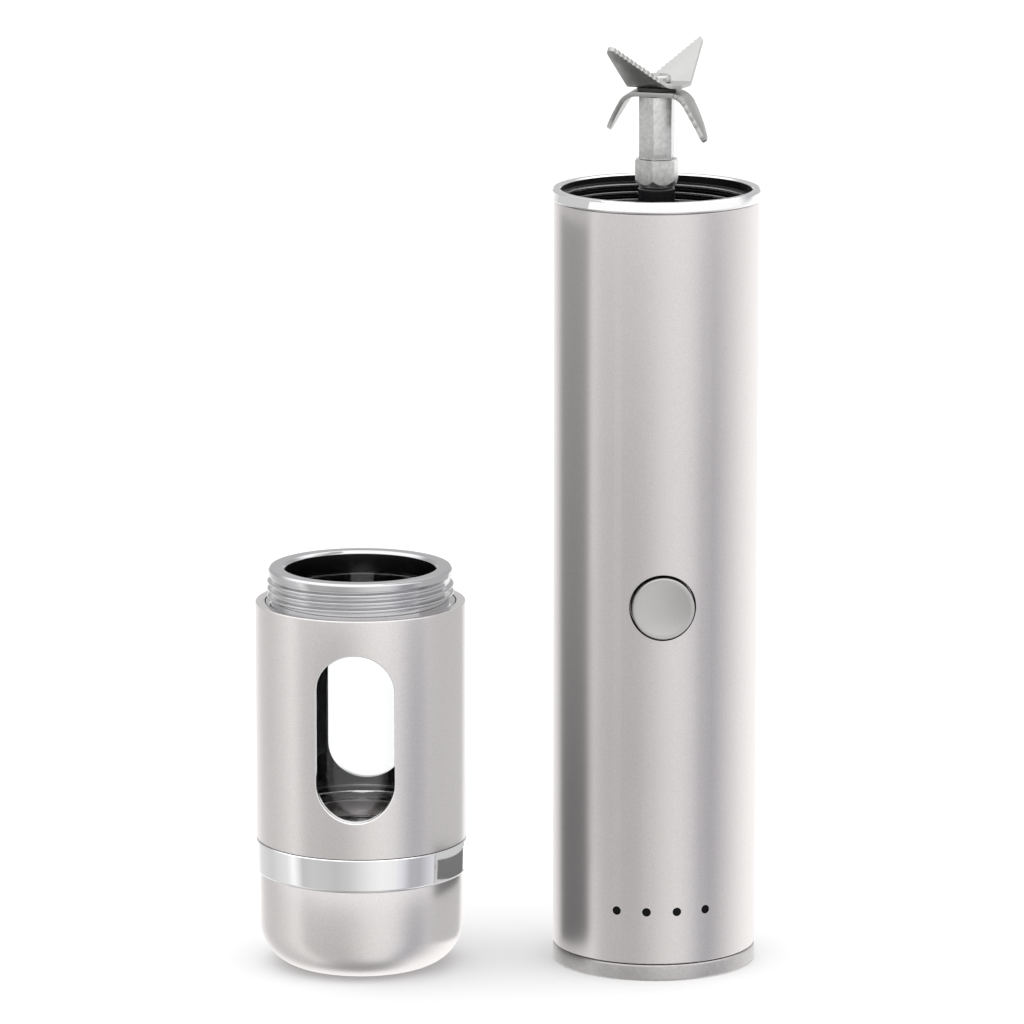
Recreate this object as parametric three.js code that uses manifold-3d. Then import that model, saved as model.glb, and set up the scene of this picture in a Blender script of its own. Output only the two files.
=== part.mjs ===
// A battery-powered pocket herb grinder in its two halves, which stand side by side: the motor body
// with its blades, and the screw-on grinding jar with its windowed sleeve, to the left of it.
// Millimetres, +Z up. The origin is the centre of the motor body's underside. The button faces -Y.
import * as THREE from "three";
import { mergeVertices } from "three/addons/utils/BufferGeometryUtils.js";
import Module from "manifold-3d";

// ---- Driving dimensions ----
const FACETS = 28; // sides of a large round
const SMALL = 16; // sides of a small round
const TINY = 10; // sides of a screw or pin
const GAP = 0.15; // play between neighbouring pieces
const THREAD_PITCH = 1.25;

const TUBE = { radius: 17, bore: 16, counterbore: 16.45, bottom: 2.85, top: 129.2, step: 120.6 };
const RIM = { radius: 17.6, bottom: 129.35, top: 131.15, mouth: 16.04, groove: 15.85, skirt: 16.3 };
const WELL = { floor: 119.4, underside: 116.6, radius: 11.9, rim: 123.6 };
const WELL_BOSS = { radius: 5, bore: 3.2, top: 121.6 };
const BUSH = { radius: 3.05, bore: 1.35, bottom: 116.7, flange: 4.4, flangeBottom: 121.7, top: 131.3 };
const SEAL_SHELF = { inner: 13.3, outer: 15.3, top: 124.1 };
const BASE_CAP = { thickness: 2.75, spigotTop: 6.4 };

const MOTOR = { radius: 12.2, bottom: 83.9, top: 116.3, wall: 0.8, shaft: 1.15 };
const ARMATURE = { radius: 9.3, bottom: 93, top: 109 };
const BATTERY = { radius: 9.2, length: 65, bottom: 10.4, behind: 5 };
const CARRIER = { bottom: 7.2, top: 79.4, plate: 1.3, wall: 1, radius: 15.6, front: -6.6 };
const BOARD = { front: -8.7, thickness: 1.2, width: 19, bottom: 4.4, top: 76 };
const SWITCH = { size: 6, front: -11.9, bore: 1.9, boreEnd: -10 };
const BUTTON = { height: 63.6, hole: 5.45, radius: 5.15, face: -17.9, dish: 0.45, flange: 6.1 };
const BUTTON_FLANGE = { front: -13.65, thickness: 0.7 };
const LIGHTS = { count: 4, height: 11.84, spacingDeg: 17.2, hole: 0.73, pin: 0.6 };
const CHARGE_PORT = { width: 7.5, depth: 2.7, bottom: 0.7, top: 6.2 };
const BASE_SCREWS = { across: 9, behind: 7.5 };
const MOTOR_SCREWS = { across: 8 };

const SPINDLE = { corner: 3.15, bottom: 136.05, top: 146.5, angleDeg: 15.6 };
const NUT = { corner: 3.8, bottom: 131.55, shoulder: 132.8, top: 136 };
const BLADE_SHEET = 0.75;
const LOWER_BLADE = { hubTop: 147.35, bendRadius: 3.6, bendDeg: 57, bendStart: 2.73, turnDeg: -16.1 };
const UPPER_BLADE = { hubTop: 148.75, bendRadius: 0.9, bendDeg: 44, bendStart: 2.0, turnDeg: -22.1 };
const BLADE_SCREW = { head: 2.3, height: 1.15, shank: 1.1 };

const JAR = { x: -49.3, windowTurnDeg: -5.6 };
const SLEEVE = { radius: 17.55, bore: 16, bottom: 21.65, top: 62.07 };
const WINDOW = { width: 13, bottom: 27.85, top: 56.14 };
const NECK = { root: 14.85, crest: 15.58, lip: 15.4, bore: 12.56, top: 67.8, skirt: 15.85, bottom: 57 };
const GLASS = { outer: 14, inner: 12.3, bottom: 27.1, top: 64.1 };
const SEAT = { bottom: 22, top: 26.4, inner: 12.3, outer: 14.7 };
const BAND = { radius: 17.7, bottom: 16.04, top: 21.57, groove: 15.2, skirtTop: 25.4 };
const CUP = { radius: 17, height: 15.95, fillet: 7, floor: 3, bore: 12.5, root: 14.3, spigotTop: 20.3 };

const radians = (degrees) => (degrees * Math.PI) / 180;

// ---- Solids and booleans ----
const wasm = await Module();
wasm.setup();

function toSolid(geometry) {
  const bare = geometry.clone();
  bare.deleteAttribute("normal");
  bare.deleteAttribute("uv");
  const merged = mergeVertices(bare, 1e-4);
  const mesh = new wasm.Mesh({
    numProp: 3,
    vertProperties: merged.attributes.position.array,
    triVerts: new Uint32Array(merged.index.array),
  });
  return new wasm.Manifold(mesh);
}

function toGeometry(solid) {
  const mesh = solid.getMesh();
  const geometry = new THREE.BufferGeometry();
  geometry.setAttribute("position", new THREE.BufferAttribute(mesh.vertProperties, 3));
  geometry.setIndex(new THREE.BufferAttribute(mesh.triVerts, 1));
  geometry.computeVertexNormals();
  return geometry;
}

const combine = (method, base, tools) =>
  toGeometry(tools.reduce((solid, tool) => solid[method](toSolid(tool)), toSolid(base)));
const cut = (base, ...tools) => combine("subtract", base, tools);
const join = (base, ...tools) => combine("add", base, tools);
const meet = (base, ...tools) => combine("intersect", base, tools);

// A solid of revolution about Z. The outline is a list of [radius, height] points that starts and
// ends on the axis, or else is closed here.
function turned(outline, facets = FACETS) {
  const points = outline.map(([radius, height]) => new THREE.Vector2(radius, height));
  if (THREE.ShapeUtils.area(points) < 0) points.reverse();
  if (points[0].x > 0) points.push(points[0].clone());
  return new THREE.LatheGeometry(points, facets).rotateX(Math.PI / 2);
}

const drum = (radius, bottom, top, facets = FACETS) =>
  turned([[0, bottom], [radius, bottom], [radius, top], [0, top]], facets);

const ring = (outer, inner, bottom, top, facets = FACETS) =>
  turned([[inner, bottom], [outer, bottom], [outer, top], [inner, top]], facets);

// A box between two corners.
function block(low, high) {
  const size = high.map((value, i) => value - low[i]);
  const middle = high.map((value, i) => (value + low[i]) / 2);
  return new THREE.BoxGeometry(...size).translate(...middle);
}

// A prism along Z from a flat outline.
const prism = (shape, bottom, top, curveSegments = 8) =>
  new THREE.ExtrudeGeometry(shape, { depth: top - bottom, bevelEnabled: false, curveSegments }).translate(
    0,
    0,
    bottom,
  );

// A hexagonal bar along Z, with one corner at the given angle from +X.
const hexBar = (corner, bottom, top, angleDeg) =>
  drum(corner, bottom, top, 6).rotateZ(radians(angleDeg + 90));

// Turns a piece that was made along Z so that its top points towards -Y, at a height on the front.
const faceFront = (geometry, height) => geometry.rotateX(Math.PI / 2).translate(0, 0, height);

// The points of a quarter round from one angle to another, as [radius, height] points.
function arc(centreR, centreZ, radius, fromDeg, toDeg, steps) {
  return Array.from({ length: steps + 1 }, (_, i) => {
    const angle = radians(fromDeg + ((toDeg - fromDeg) * i) / steps);
    return [centreR + radius * Math.cos(angle), centreZ + radius * Math.sin(angle)];
  });
}

// A right-handed thread ridge about Z. Its height is positive on a male thread and negative on a
// female one, and it fades into the wall at both ends.
function threadRidge({ radius, height, start, turnCount, rootWidth, crestWidth }) {
  const sink = -0.2 * Math.sign(height);
  const section = new THREE.Shape([
    new THREE.Vector2(-rootWidth / 2, sink),
    new THREE.Vector2(rootWidth / 2, sink),
    new THREE.Vector2(crestWidth / 2, height),
    new THREE.Vector2(-crestWidth / 2, height),
  ]);
  const steps = Math.round(turnCount * FACETS);
  const ridge = new THREE.ExtrudeGeometry(section, { depth: 1, steps, bevelEnabled: false });
  const position = ridge.attributes.position;
  const fadeSteps = 4;
  for (let i = 0; i < position.count; i++) {
    const along = position.getZ(i);
    const fade = Math.min(1, 0.1 + (Math.min(along, 1 - along) * steps) / fadeSteps);
    const offset = position.getY(i) === Math.fround(height) ? height * fade : sink;
    const angle = (along * steps * 2 * Math.PI) / FACETS;
    const lift = start + (THREAD_PITCH * along * steps) / FACETS + position.getX(i);
    position.setXYZ(i, (radius + offset) * Math.cos(angle), (radius + offset) * Math.sin(angle), lift);
  }
  return ridge;
}

// ---- The assembly ----
const grinder = new THREE.Group();
const motorBody = new THREE.Group();
const rotor = new THREE.Group();
const jar = new THREE.Group();
jar.position.x = JAR.x;
motorBody.add(rotor);
grinder.add(motorBody, jar);

const FINISHES = {
  satinAluminium: { color: 0xb9b3b4, roughness: 0.4, metalness: 1 },
  chrome: { color: 0xe6e6e8, roughness: 0.08, metalness: 1 },
  steel: { color: 0x9d9d9b, roughness: 0.32, metalness: 1 },
  magnetSteel: { color: 0x4b4a49, roughness: 0.6, metalness: 0.6 },
  copper: { color: 0xb4683a, roughness: 0.35, metalness: 1 },
  bronze: { color: 0x9a7a45, roughness: 0.5, metalness: 1 },
  carbon: { color: 0x2b2b2c, roughness: 0.8, metalness: 0.1 },
  blackPlastic: { color: 0x151516, roughness: 0.5, metalness: 0 },
  whitePlastic: { color: 0xd9d7cf, roughness: 0.5, metalness: 0 },
  rubber: { color: 0x1b1b1c, roughness: 0.8, metalness: 0 },
  silicone: { color: 0xcfd0cf, roughness: 0.6, metalness: 0 },
  glass: { color: 0xf4f8f8, roughness: 0.03, metalness: 0, transparent: true, opacity: 0.3 },
  circuitBoard: { color: 0x1f5a33, roughness: 0.5, metalness: 0 },
  batteryWrap: { color: 0x2f6db0, roughness: 0.4, metalness: 0 },
  redInsulation: { color: 0xb3261e, roughness: 0.5, metalness: 0 },
  blackInsulation: { color: 0x1a1a1a, roughness: 0.5, metalness: 0 },
  smokedLens: { color: 0x0b0b0c, roughness: 0.25, metalness: 0 },
};

function add(group, name, finish, geometry) {
  const mesh = new THREE.Mesh(geometry, new THREE.MeshStandardMaterial(FINISHES[finish]));
  mesh.name = name;
  group.add(mesh);
}

// ---- Motor body: shell ----
const lightAngles = Array.from(
  { length: LIGHTS.count },
  (_, i) => (i - (LIGHTS.count - 1) / 2) * LIGHTS.spacingDeg,
);
// A rod along a radius of the body at the lights' height, at an angle from the front.
const lightRod = (radius, from, to, angleDeg) =>
  faceFront(drum(radius, from, to, TINY), LIGHTS.height).rotateZ(radians(angleDeg));

function bodyTube() {
  const shell = turned([
    [TUBE.bore, TUBE.bottom],
    [TUBE.radius, TUBE.bottom],
    [TUBE.radius, TUBE.top],
    [TUBE.counterbore, TUBE.top],
    [TUBE.counterbore, TUBE.step],
    [TUBE.bore, TUBE.step],
  ]);
  const buttonHole = faceFront(drum(BUTTON.hole, 10, 20, 24), BUTTON.height);
  return cut(shell, buttonHole, ...lightAngles.map((angle) => lightRod(LIGHTS.hole, 10, 20, angle)));
}

function rimCollar() {
  const bottom = TUBE.step + 0.2;
  const edge = 0.2;
  const collar = turned([
    [SEAL_SHELF.inner, bottom],
    [RIM.skirt, bottom],
    [RIM.skirt, RIM.bottom],
    [RIM.radius - edge, RIM.bottom],
    [RIM.radius, RIM.bottom + edge],
    [RIM.radius, RIM.top - edge],
    [RIM.radius - edge, RIM.top],
    [RIM.mouth, RIM.top],
    [RIM.groove, RIM.top - edge],
    [RIM.groove, SEAL_SHELF.top + 1.5],
    [SEAL_SHELF.outer, SEAL_SHELF.top + 1.2],
    [SEAL_SHELF.outer, SEAL_SHELF.top],
    [SEAL_SHELF.inner, SEAL_SHELF.top],
  ]);
  const thread = threadRidge({
    radius: RIM.groove,
    height: -0.8,
    start: 126.5,
    turnCount: 2.75,
    rootWidth: 0.95,
    crestWidth: 0.25,
  });
  return join(collar, thread);
}

function baseCap() {
  const spigot = TUBE.bore - GAP;
  const cap = turned([
    [0, 0],
    [TUBE.radius - 0.3, 0],
    [TUBE.radius, 0.3],
    [TUBE.radius, BASE_CAP.thickness],
    [spigot, BASE_CAP.thickness],
    [spigot, BASE_CAP.spigotTop],
    [spigot - 1.2, BASE_CAP.spigotTop],
    [spigot - 1.2, BASE_CAP.thickness],
    [0, BASE_CAP.thickness],
  ]);
  const portFront = BOARD.front - CHARGE_PORT.depth;
  const portX = CHARGE_PORT.width / 2;
  const play = 0.3;
  const port = block([-portX - play, portFront - play, -1], [portX + play, BOARD.front + play, 4]);
  const screwHoles = [-1, 1].flatMap((side) => [
    drum(1.2, -1, 4, TINY).translate(side * BASE_SCREWS.across, BASE_SCREWS.behind, 0),
    drum(2.1, -1, 1.5, TINY).translate(side * BASE_SCREWS.across, BASE_SCREWS.behind, 0),
  ]);
  return cut(cap, port, ...screwHoles);
}

function bladeWell() {
  const outside = SEAL_SHELF.inner - GAP;
  const well = turned([
    [WELL_BOSS.bore, WELL.underside],
    [TUBE.bore - GAP, WELL.underside],
    [TUBE.bore - GAP, TUBE.step - 0.2],
    [outside, TUBE.step - 0.2],
    [outside, WELL.rim],
    [WELL.radius, WELL.rim],
    [WELL.radius, WELL.floor + 1],
    [WELL.radius - 1, WELL.floor],
    [WELL_BOSS.radius, WELL.floor],
    [WELL_BOSS.radius - 0.4, WELL_BOSS.top],
    [WELL_BOSS.bore, WELL_BOSS.top],
  ]);
  const screwHoles = [-1, 1].flatMap((side) => [
    drum(1.4, 110, 120, TINY).translate(side * MOTOR_SCREWS.across, 0, 0),
    drum(2.4, WELL.floor - 1.2, 120, TINY).translate(side * MOTOR_SCREWS.across, 0, 0),
  ]);
  return cut(well, ...screwHoles);
}

const headedScrew = (headRadius, shankRadius, headTop, headHeight, length) =>
  turned(
    [
      [0, headTop - headHeight - length],
      [shankRadius, headTop - headHeight - length],
      [shankRadius, headTop - headHeight],
      [headRadius, headTop - headHeight],
      [headRadius, headTop],
      [0, headTop],
    ],
    TINY,
  );

add(motorBody, "body_tube", "satinAluminium", bodyTube());
add(motorBody, "rim_collar", "chrome", rimCollar());
add(
  motorBody,
  "neck_gasket",
  "silicone",
  ring(SEAL_SHELF.outer - 0.1, SEAL_SHELF.inner + 0.1, SEAL_SHELF.top + 0.05, SEAL_SHELF.top + 1.1),
);
add(motorBody, "blade_well", "blackPlastic", bladeWell());
add(
  motorBody,
  "spindle_bush",
  "blackPlastic",
  turned([
    [BUSH.bore, BUSH.bottom],
    [BUSH.radius, BUSH.bottom],
    [BUSH.radius, BUSH.flangeBottom],
    [BUSH.flange, BUSH.flangeBottom],
    [BUSH.flange, BUSH.flangeBottom + 0.8],
    [BUSH.radius, BUSH.flangeBottom + 0.8],
    [BUSH.radius, BUSH.top - 0.3],
    [BUSH.radius - 0.25, BUSH.top],
    [BUSH.bore, BUSH.top],
  ], SMALL),
);
add(motorBody, "base_cap", "satinAluminium", baseCap());
for (const [name, side] of [["left", -1], ["right", 1]]) {
  const underside = headedScrew(1.85, 0.95, 1.45, 1.1, 6.5).rotateX(Math.PI);
  underside.translate(side * BASE_SCREWS.across, BASE_SCREWS.behind, 1.75);
  add(motorBody, `base_screw_${name}`, "steel", underside);
}

// ---- Motor body: motor ----
function motorCan() {
  const inside = MOTOR.radius - MOTOR.wall;
  const can = turned([
    [MOTOR.radius, MOTOR.bottom],
    [MOTOR.radius, MOTOR.top - 0.7],
    [MOTOR.radius - 0.7, MOTOR.top],
    [3.15, MOTOR.top],
    [3.15, MOTOR.top - 0.9],
    [inside - 0.4, MOTOR.top - 0.9],
    [inside, MOTOR.top - 1.3],
    [inside, MOTOR.bottom],
  ], 24);
  const screwHoles = [-1, 1].map((side) =>
    drum(1.25, 110, 120, TINY).translate(side * MOTOR_SCREWS.across, 0, 0),
  );
  return cut(can, ...screwHoles);
}

function fieldMagnet(middleDeg) {
  const outer = MOTOR.radius - MOTOR.wall - GAP;
  const half = radians(68);
  const arcShape = new THREE.Shape();
  arcShape.absarc(0, 0, outer, -half, half, false);
  arcShape.absarc(0, 0, 9.7, half, -half, true);
  return prism(arcShape, 89.5, 112.5, 6).rotateZ(radians(middleDeg));
}

// The three-pole core, or the room that it takes when it is grown by some play.
function armatureCore(play) {
  const bottom = ARMATURE.bottom - play;
  const top = ARMATURE.top + play;
  const hub = drum(3 + play, bottom, top, SMALL);
  const poles = [0, 120, 240].flatMap((angleDeg) => {
    const face = new THREE.Shape();
    face.absarc(0, 0, ARMATURE.radius, radians(-44), radians(44), false);
    face.absarc(0, 0, 7.9 - play, radians(44), radians(-44), true);
    return [
      block([0, -1.3 - play, bottom], [8.3, 1.3 + play, top]).rotateZ(radians(angleDeg)),
      prism(face, bottom, top, 4).rotateZ(radians(angleDeg)),
    ];
  });
  return join(hub, ...poles);
}

const shaftHole = drum(MOTOR.shaft + 0.1, 70, 140, TINY);

add(motorBody, "motor_can", "steel", motorCan());
add(
  motorBody,
  "motor_end_cap",
  "whitePlastic",
  turned([[2.6, 81.8], [12.1, 81.8], [12.1, 83.75], [11.25, 83.75], [11.25, 87.5], [9.9, 87.5],
    [9.9, 85], [2.6, 85]], 24),
);
add(motorBody, "field_magnet_left", "magnetSteel", fieldMagnet(180));
add(motorBody, "field_magnet_right", "magnetSteel", fieldMagnet(0));
add(motorBody, "motor_bearing_top", "bronze", ring(3, MOTOR.shaft + 0.1, 113, 116.2, SMALL));
add(motorBody, "motor_bearing_bottom", "bronze", ring(2.45, MOTOR.shaft + 0.1, 82, 84.9, SMALL));
for (const [name, side] of [["left", -1], ["right", 1]]) {
  const screw = headedScrew(2.1, 1.05, WELL.floor - 0.1, 1, 4.2);
  add(motorBody, `motor_screw_${name}`, "steel", screw.translate(side * MOTOR_SCREWS.across, 0, 0));
  const brush = block([3.35, -1.1, 86.6], [6.4, 1.1, 89.4]).rotateZ(side > 0 ? 0 : Math.PI);
  add(motorBody, `brush_${name}`, "carbon", brush);
  const tab = block([side * 4.6 - 1.2, -0.25, 79.9], [side * 4.6 + 1.2, 0.25, 81.7]);
  add(motorBody, `motor_terminal_${name}`, "steel", tab);
}

add(rotor, "motor_shaft", "steel", drum(MOTOR.shaft, 81.2, 133.4, TINY));
add(rotor, "armature_core", "steel", cut(armatureCore(0), shaftHole));
add(
  rotor,
  "armature_winding",
  "copper",
  cut(drum(7.7, ARMATURE.bottom - 1.8, ARMATURE.top + 1.8, 24), armatureCore(GAP), shaftHole),
);
add(rotor, "commutator", "copper", ring(3.15, MOTOR.shaft + 0.1, 86, 90.6, SMALL));

// ---- Motor body: battery, board, switch and lights ----
function batteryCarrier() {
  const { bottom, top, plate, radius, front } = CARRIER;
  const inside = BATTERY.radius + 0.4;
  const cradle = ring(inside + CARRIER.wall, inside, bottom + 0.5, top - 0.5);
  cradle.translate(0, BATTERY.behind, 0);
  const frame = join(cradle, drum(radius, bottom, bottom + plate), drum(radius, top - plate, top));
  const frontCut = block([-20, -20, 0], [20, front, 90]);
  const cradleCut = block([-12, -20, bottom + plate], [12, -1, top - plate]);
  const screwHoles = [-1, 1].map((side) =>
    drum(1.1, 0, 10, TINY).translate(side * BASE_SCREWS.across, BASE_SCREWS.behind, 0),
  );
  return cut(frame, frontCut, cradleCut, ...screwHoles);
}

// The sprung contact under the cell: a spiral of round wire that climbs as it narrows.
class ContactSpiral extends THREE.Curve {
  getPoint(t, target = new THREE.Vector3()) {
    const angle = t * 2.25 * 2 * Math.PI;
    const radius = 6.5 - 3.5 * t;
    return target.set(radius * Math.cos(angle), radius * Math.sin(angle), 8.92 + t);
  }
}

// A round rod or wire along a curve.
function wire(path, radius, steps, sides) {
  const section = new THREE.Shape();
  section.absarc(0, 0, radius, 0, 2 * Math.PI, false);
  return new THREE.ExtrudeGeometry(section, { extrudePath: path, steps, curveSegments: sides / 2 });
}

function lead(side) {
  const points = [
    [4.7, -0.45, 80.9],
    [5.6, -4, 80.9],
    [6.6, -9.5, 80.4],
    [6.9, -11.4, 77],
    [6.6, -11.2, 73],
    [6, -9.6, 70.5],
  ];
  const vectors = points.map(([x, y, z]) => new THREE.Vector3(side * x, y, z));
  return wire(new THREE.CatmullRomCurve3(vectors), 0.6, 12, 8);
}

const cellTop = BATTERY.bottom + BATTERY.length;
const battery = turned([
  [0, BATTERY.bottom],
  [BATTERY.radius - 0.4, BATTERY.bottom],
  [BATTERY.radius, BATTERY.bottom + 0.4],
  [BATTERY.radius, cellTop - 0.4],
  [BATTERY.radius - 0.4, cellTop],
  [3, cellTop],
  [3, cellTop + 0.9],
  [0, cellTop + 0.9],
], 24).translate(0, BATTERY.behind, 0);
add(motorBody, "battery_carrier", "blackPlastic", batteryCarrier());
add(motorBody, "battery_cell", "batteryWrap", battery);
add(
  motorBody,
  "positive_contact",
  "steel",
  block([-4, BATTERY.behind - 4, cellTop + 1.1], [4, BATTERY.behind + 4, cellTop + 1.5]),
);
add(
  motorBody,
  "negative_contact",
  "steel",
  wire(new ContactSpiral(), 0.35, 32, 6).translate(0, BATTERY.behind, 0),
);
add(
  motorBody,
  "control_board",
  "circuitBoard",
  block(
    [-BOARD.width / 2, BOARD.front, BOARD.bottom],
    [BOARD.width / 2, BOARD.front + BOARD.thickness, BOARD.top],
  ),
);
add(
  motorBody,
  "charge_socket",
  "steel",
  cut(
    block(
      [-CHARGE_PORT.width / 2, BOARD.front - CHARGE_PORT.depth, CHARGE_PORT.bottom],
      [CHARGE_PORT.width / 2, BOARD.front - 0.1, CHARGE_PORT.top],
    ),
    block(
      [-CHARGE_PORT.width / 2 + 0.3, BOARD.front - CHARGE_PORT.depth + 0.3, 0],
      [CHARGE_PORT.width / 2 - 0.3, BOARD.front - 0.4, CHARGE_PORT.top - 0.6],
    ),
  ),
);
add(motorBody, "motor_lead_red", "redInsulation", lead(1));
add(motorBody, "motor_lead_black", "blackInsulation", lead(-1));

// The parts of the switch are made along Z, where a height is a distance in front of the axis.
const switchBody = cut(
  block(
    [-SWITCH.size / 2, -SWITCH.size / 2, -BOARD.front + 0.1],
    [SWITCH.size / 2, SWITCH.size / 2, -SWITCH.front],
  ),
  drum(SWITCH.bore, -SWITCH.boreEnd, 20, SMALL),
);
const buttonCap = turned([
  [0, -BUTTON_FLANGE.front - BUTTON_FLANGE.thickness],
  [BUTTON.flange, -BUTTON_FLANGE.front - BUTTON_FLANGE.thickness],
  [BUTTON.flange, -BUTTON_FLANGE.front],
  [BUTTON.radius, -BUTTON_FLANGE.front],
  [BUTTON.radius, -BUTTON.face - 0.25],
  [BUTTON.radius - 0.25, -BUTTON.face],
  [BUTTON.radius - 0.5, -BUTTON.face],
  [BUTTON.radius / 2, -BUTTON.face - 0.8 * BUTTON.dish],
  [0, -BUTTON.face - BUTTON.dish],
], 24);
add(motorBody, "switch_body", "blackPlastic", faceFront(switchBody, BUTTON.height));
add(motorBody, "switch_plunger", "whitePlastic", faceFront(drum(1.6, 11.2, 12.85, SMALL), BUTTON.height));
add(motorBody, "button_cap", "satinAluminium", faceFront(buttonCap, BUTTON.height));
add(motorBody, "button_seal", "rubber", faceFront(ring(6.9, 5.35, 13.75, 14.3, 24), BUTTON.height));

function lightHolder() {
  const half = radians(33);
  const blockShape = new THREE.Shape();
  blockShape.absarc(0, 0, TUBE.bore - GAP, -Math.PI / 2 - half, -Math.PI / 2 + half, false);
  blockShape.absarc(0, 0, 12.2, -Math.PI / 2 + half, -Math.PI / 2 - half, true);
  const body = prism(blockShape, LIGHTS.height - 2.2, LIGHTS.height + 2.2, 5);
  return cut(body, ...lightAngles.map((angle) => lightRod(LIGHTS.pin + 0.15, 10, 20, angle)));
}
add(motorBody, "light_holder", "blackPlastic", lightHolder());
lightAngles.forEach((angle, i) => {
  const pipe = lightRod(LIGHTS.pin, 11.8, TUBE.radius - 0.15, angle);
  add(motorBody, `light_pipe_${i + 1}`, "smokedLens", pipe);
});

// ---- Rotor: spindle and blades ----
const spindleBore = drum(BLADE_SCREW.shank + 0.15, 130, 160, TINY);
const nutBody = turned([
  [0, NUT.bottom],
  [NUT.corner - 0.75, NUT.bottom],
  [NUT.corner + 0.1, NUT.shoulder],
  [NUT.corner + 0.1, NUT.top - 0.25],
  [NUT.corner - 0.3, NUT.top],
  [0, NUT.top],
], 24);
const nutFlats = hexBar(NUT.corner, NUT.bottom - 1, NUT.top + 1, SPINDLE.angleDeg);
add(
  rotor,
  "spindle_nut",
  "steel",
  cut(meet(nutBody, nutFlats), drum(MOTOR.shaft + 0.15, 130, 133.6, TINY), spindleBore),
);
add(
  rotor,
  "hex_spindle",
  "steel",
  cut(hexBar(SPINDLE.corner, SPINDLE.bottom, SPINDLE.top, SPINDLE.angleDeg), spindleBore),
);

// The side view of a blade, from its middle out to one end: flat, then a round bend, then straight.
// It gives the lower or upper face as [distance, height] points; bends upwards if up is 1.
function bladeSide({ hubTop, bendRadius, bendDeg, bendStart }, up, face) {
  const middle = hubTop - BLADE_SHEET / 2;
  const offset = (face * BLADE_SHEET) / 2;
  const straight = 12;
  const points = Array.from({ length: 6 }, (_, i) => {
    const angle = radians((bendDeg * i) / 5);
    const radius = bendRadius - up * offset;
    return [bendStart + radius * Math.sin(angle), middle + up * (bendRadius - radius * Math.cos(angle))];
  });
  const angle = radians(bendDeg);
  const [x, z] = points.at(-1);
  return [...points, [x + straight * Math.cos(angle), z + up * straight * Math.sin(angle)]];
}

// A sheet blade: the bent strip, kept where the blade's plan outline covers it. The outline is given
// as two halves, the second of them turned by 180 degrees.
function blade(bend, up, [half, otherHalf], boreFrom) {
  const top = bladeSide(bend, up, 1);
  const bottom = bladeSide(bend, up, -1);
  const mirrored = (points) => points.map(([x, z]) => [-x, z]).reverse();
  const loop = [...mirrored(bottom), ...bottom, ...top.slice().reverse(), ...mirrored(top).reverse()];
  const side = new THREE.Shape(loop.map(([x, z]) => new THREE.Vector2(x, z)));
  const strip = prism(side, -10, 10).rotateX(Math.PI / 2);
  const outline = [...half, ...otherHalf.map(([x, y]) => [-x, -y])];
  const plan = new THREE.Shape(outline.map(([x, y]) => new THREE.Vector2(x, y)));
  return cut(meet(strip, prism(plan, 130, 170)), boreFrom).rotateZ(radians(bend.turnDeg));
}

// Saw teeth along a straight edge, as points with every second one set back into the sheet.
function teeth([x0, y0], [x1, y1], count, depth) {
  const length = Math.hypot(x1 - x0, y1 - y0);
  const inward = [(y1 - y0) / length, -(x1 - x0) / length];
  return Array.from({ length: 2 * count }, (_, i) => {
    const t = (i + 0.5) / (2 * count);
    const set = i % 2 ? depth : 0;
    return [x0 + (x1 - x0) * t - inward[0] * set, y0 + (y1 - y0) * t - inward[1] * set];
  });
}

const toothDepth = 0.22;
const lowerTip = [9.14, -6.24];
const lowerHalf = [
  [-2.4, -2.95],
  [2.6, -3.5],
  ...teeth([3.4, -3.85], [8.4, -6], 6, toothDepth),
  [8.75, -6.35],
  lowerTip,
  [9.3, -5.6],
  [8.6, -2.9],
  [7.3, -0.2],
  [5.6, 1.9],
  [4, 2.7],
];
const upperToothed = [...teeth([4.1, 9], [-1.6, 3.4], 8, toothDepth), [-2.9, 2.25]];
const upperHalf = [[5.1, 2.2], [5.1, 8.8], [4.75, 9.35], [4.35, 9.3], ...upperToothed, [-4.1, 1.75]];
const upperOtherHalf = [
  [4.32, 2.2],
  [5.75, 8.5],
  [5.6, 9.2],
  [5.1, 9.45],
  [4.35, 9.3],
  ...upperToothed,
  [-4.8, 1.75],
];
// The upper blade's bends run along its own X, so its strip is turned by a quarter.
const quarter = ([x, y]) => [y, -x];
add(rotor, "lower_blade", "steel", blade(LOWER_BLADE, -1, [lowerHalf, lowerHalf], spindleBore));
add(
  rotor,
  "upper_blade",
  "steel",
  blade(
    { ...UPPER_BLADE, turnDeg: UPPER_BLADE.turnDeg + 90 },
    1,
    [upperHalf.map(quarter), upperOtherHalf.map(quarter)],
    spindleBore,
  ),
);
add(
  rotor,
  "blade_washer",
  "rubber",
  ring(
    3.3,
    BLADE_SCREW.shank + 0.15,
    LOWER_BLADE.hubTop + 0.08,
    UPPER_BLADE.hubTop - BLADE_SHEET - 0.08,
    SMALL,
  ),
);
const screwTop = UPPER_BLADE.hubTop + 0.08 + BLADE_SCREW.height;
const bladeScrew = turned([
  [0, 140.5],
  [BLADE_SCREW.shank, 140.5],
  [BLADE_SCREW.shank, UPPER_BLADE.hubTop + 0.08],
  [BLADE_SCREW.head, UPPER_BLADE.hubTop + 0.08],
  [BLADE_SCREW.head, screwTop - 0.4],
  [BLADE_SCREW.head - 0.5, screwTop],
  [0, screwTop],
], SMALL);
add(rotor, "blade_screw", "steel", cut(bladeScrew, hexBar(1.2, screwTop - 0.7, screwTop + 1, 0)));

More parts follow.
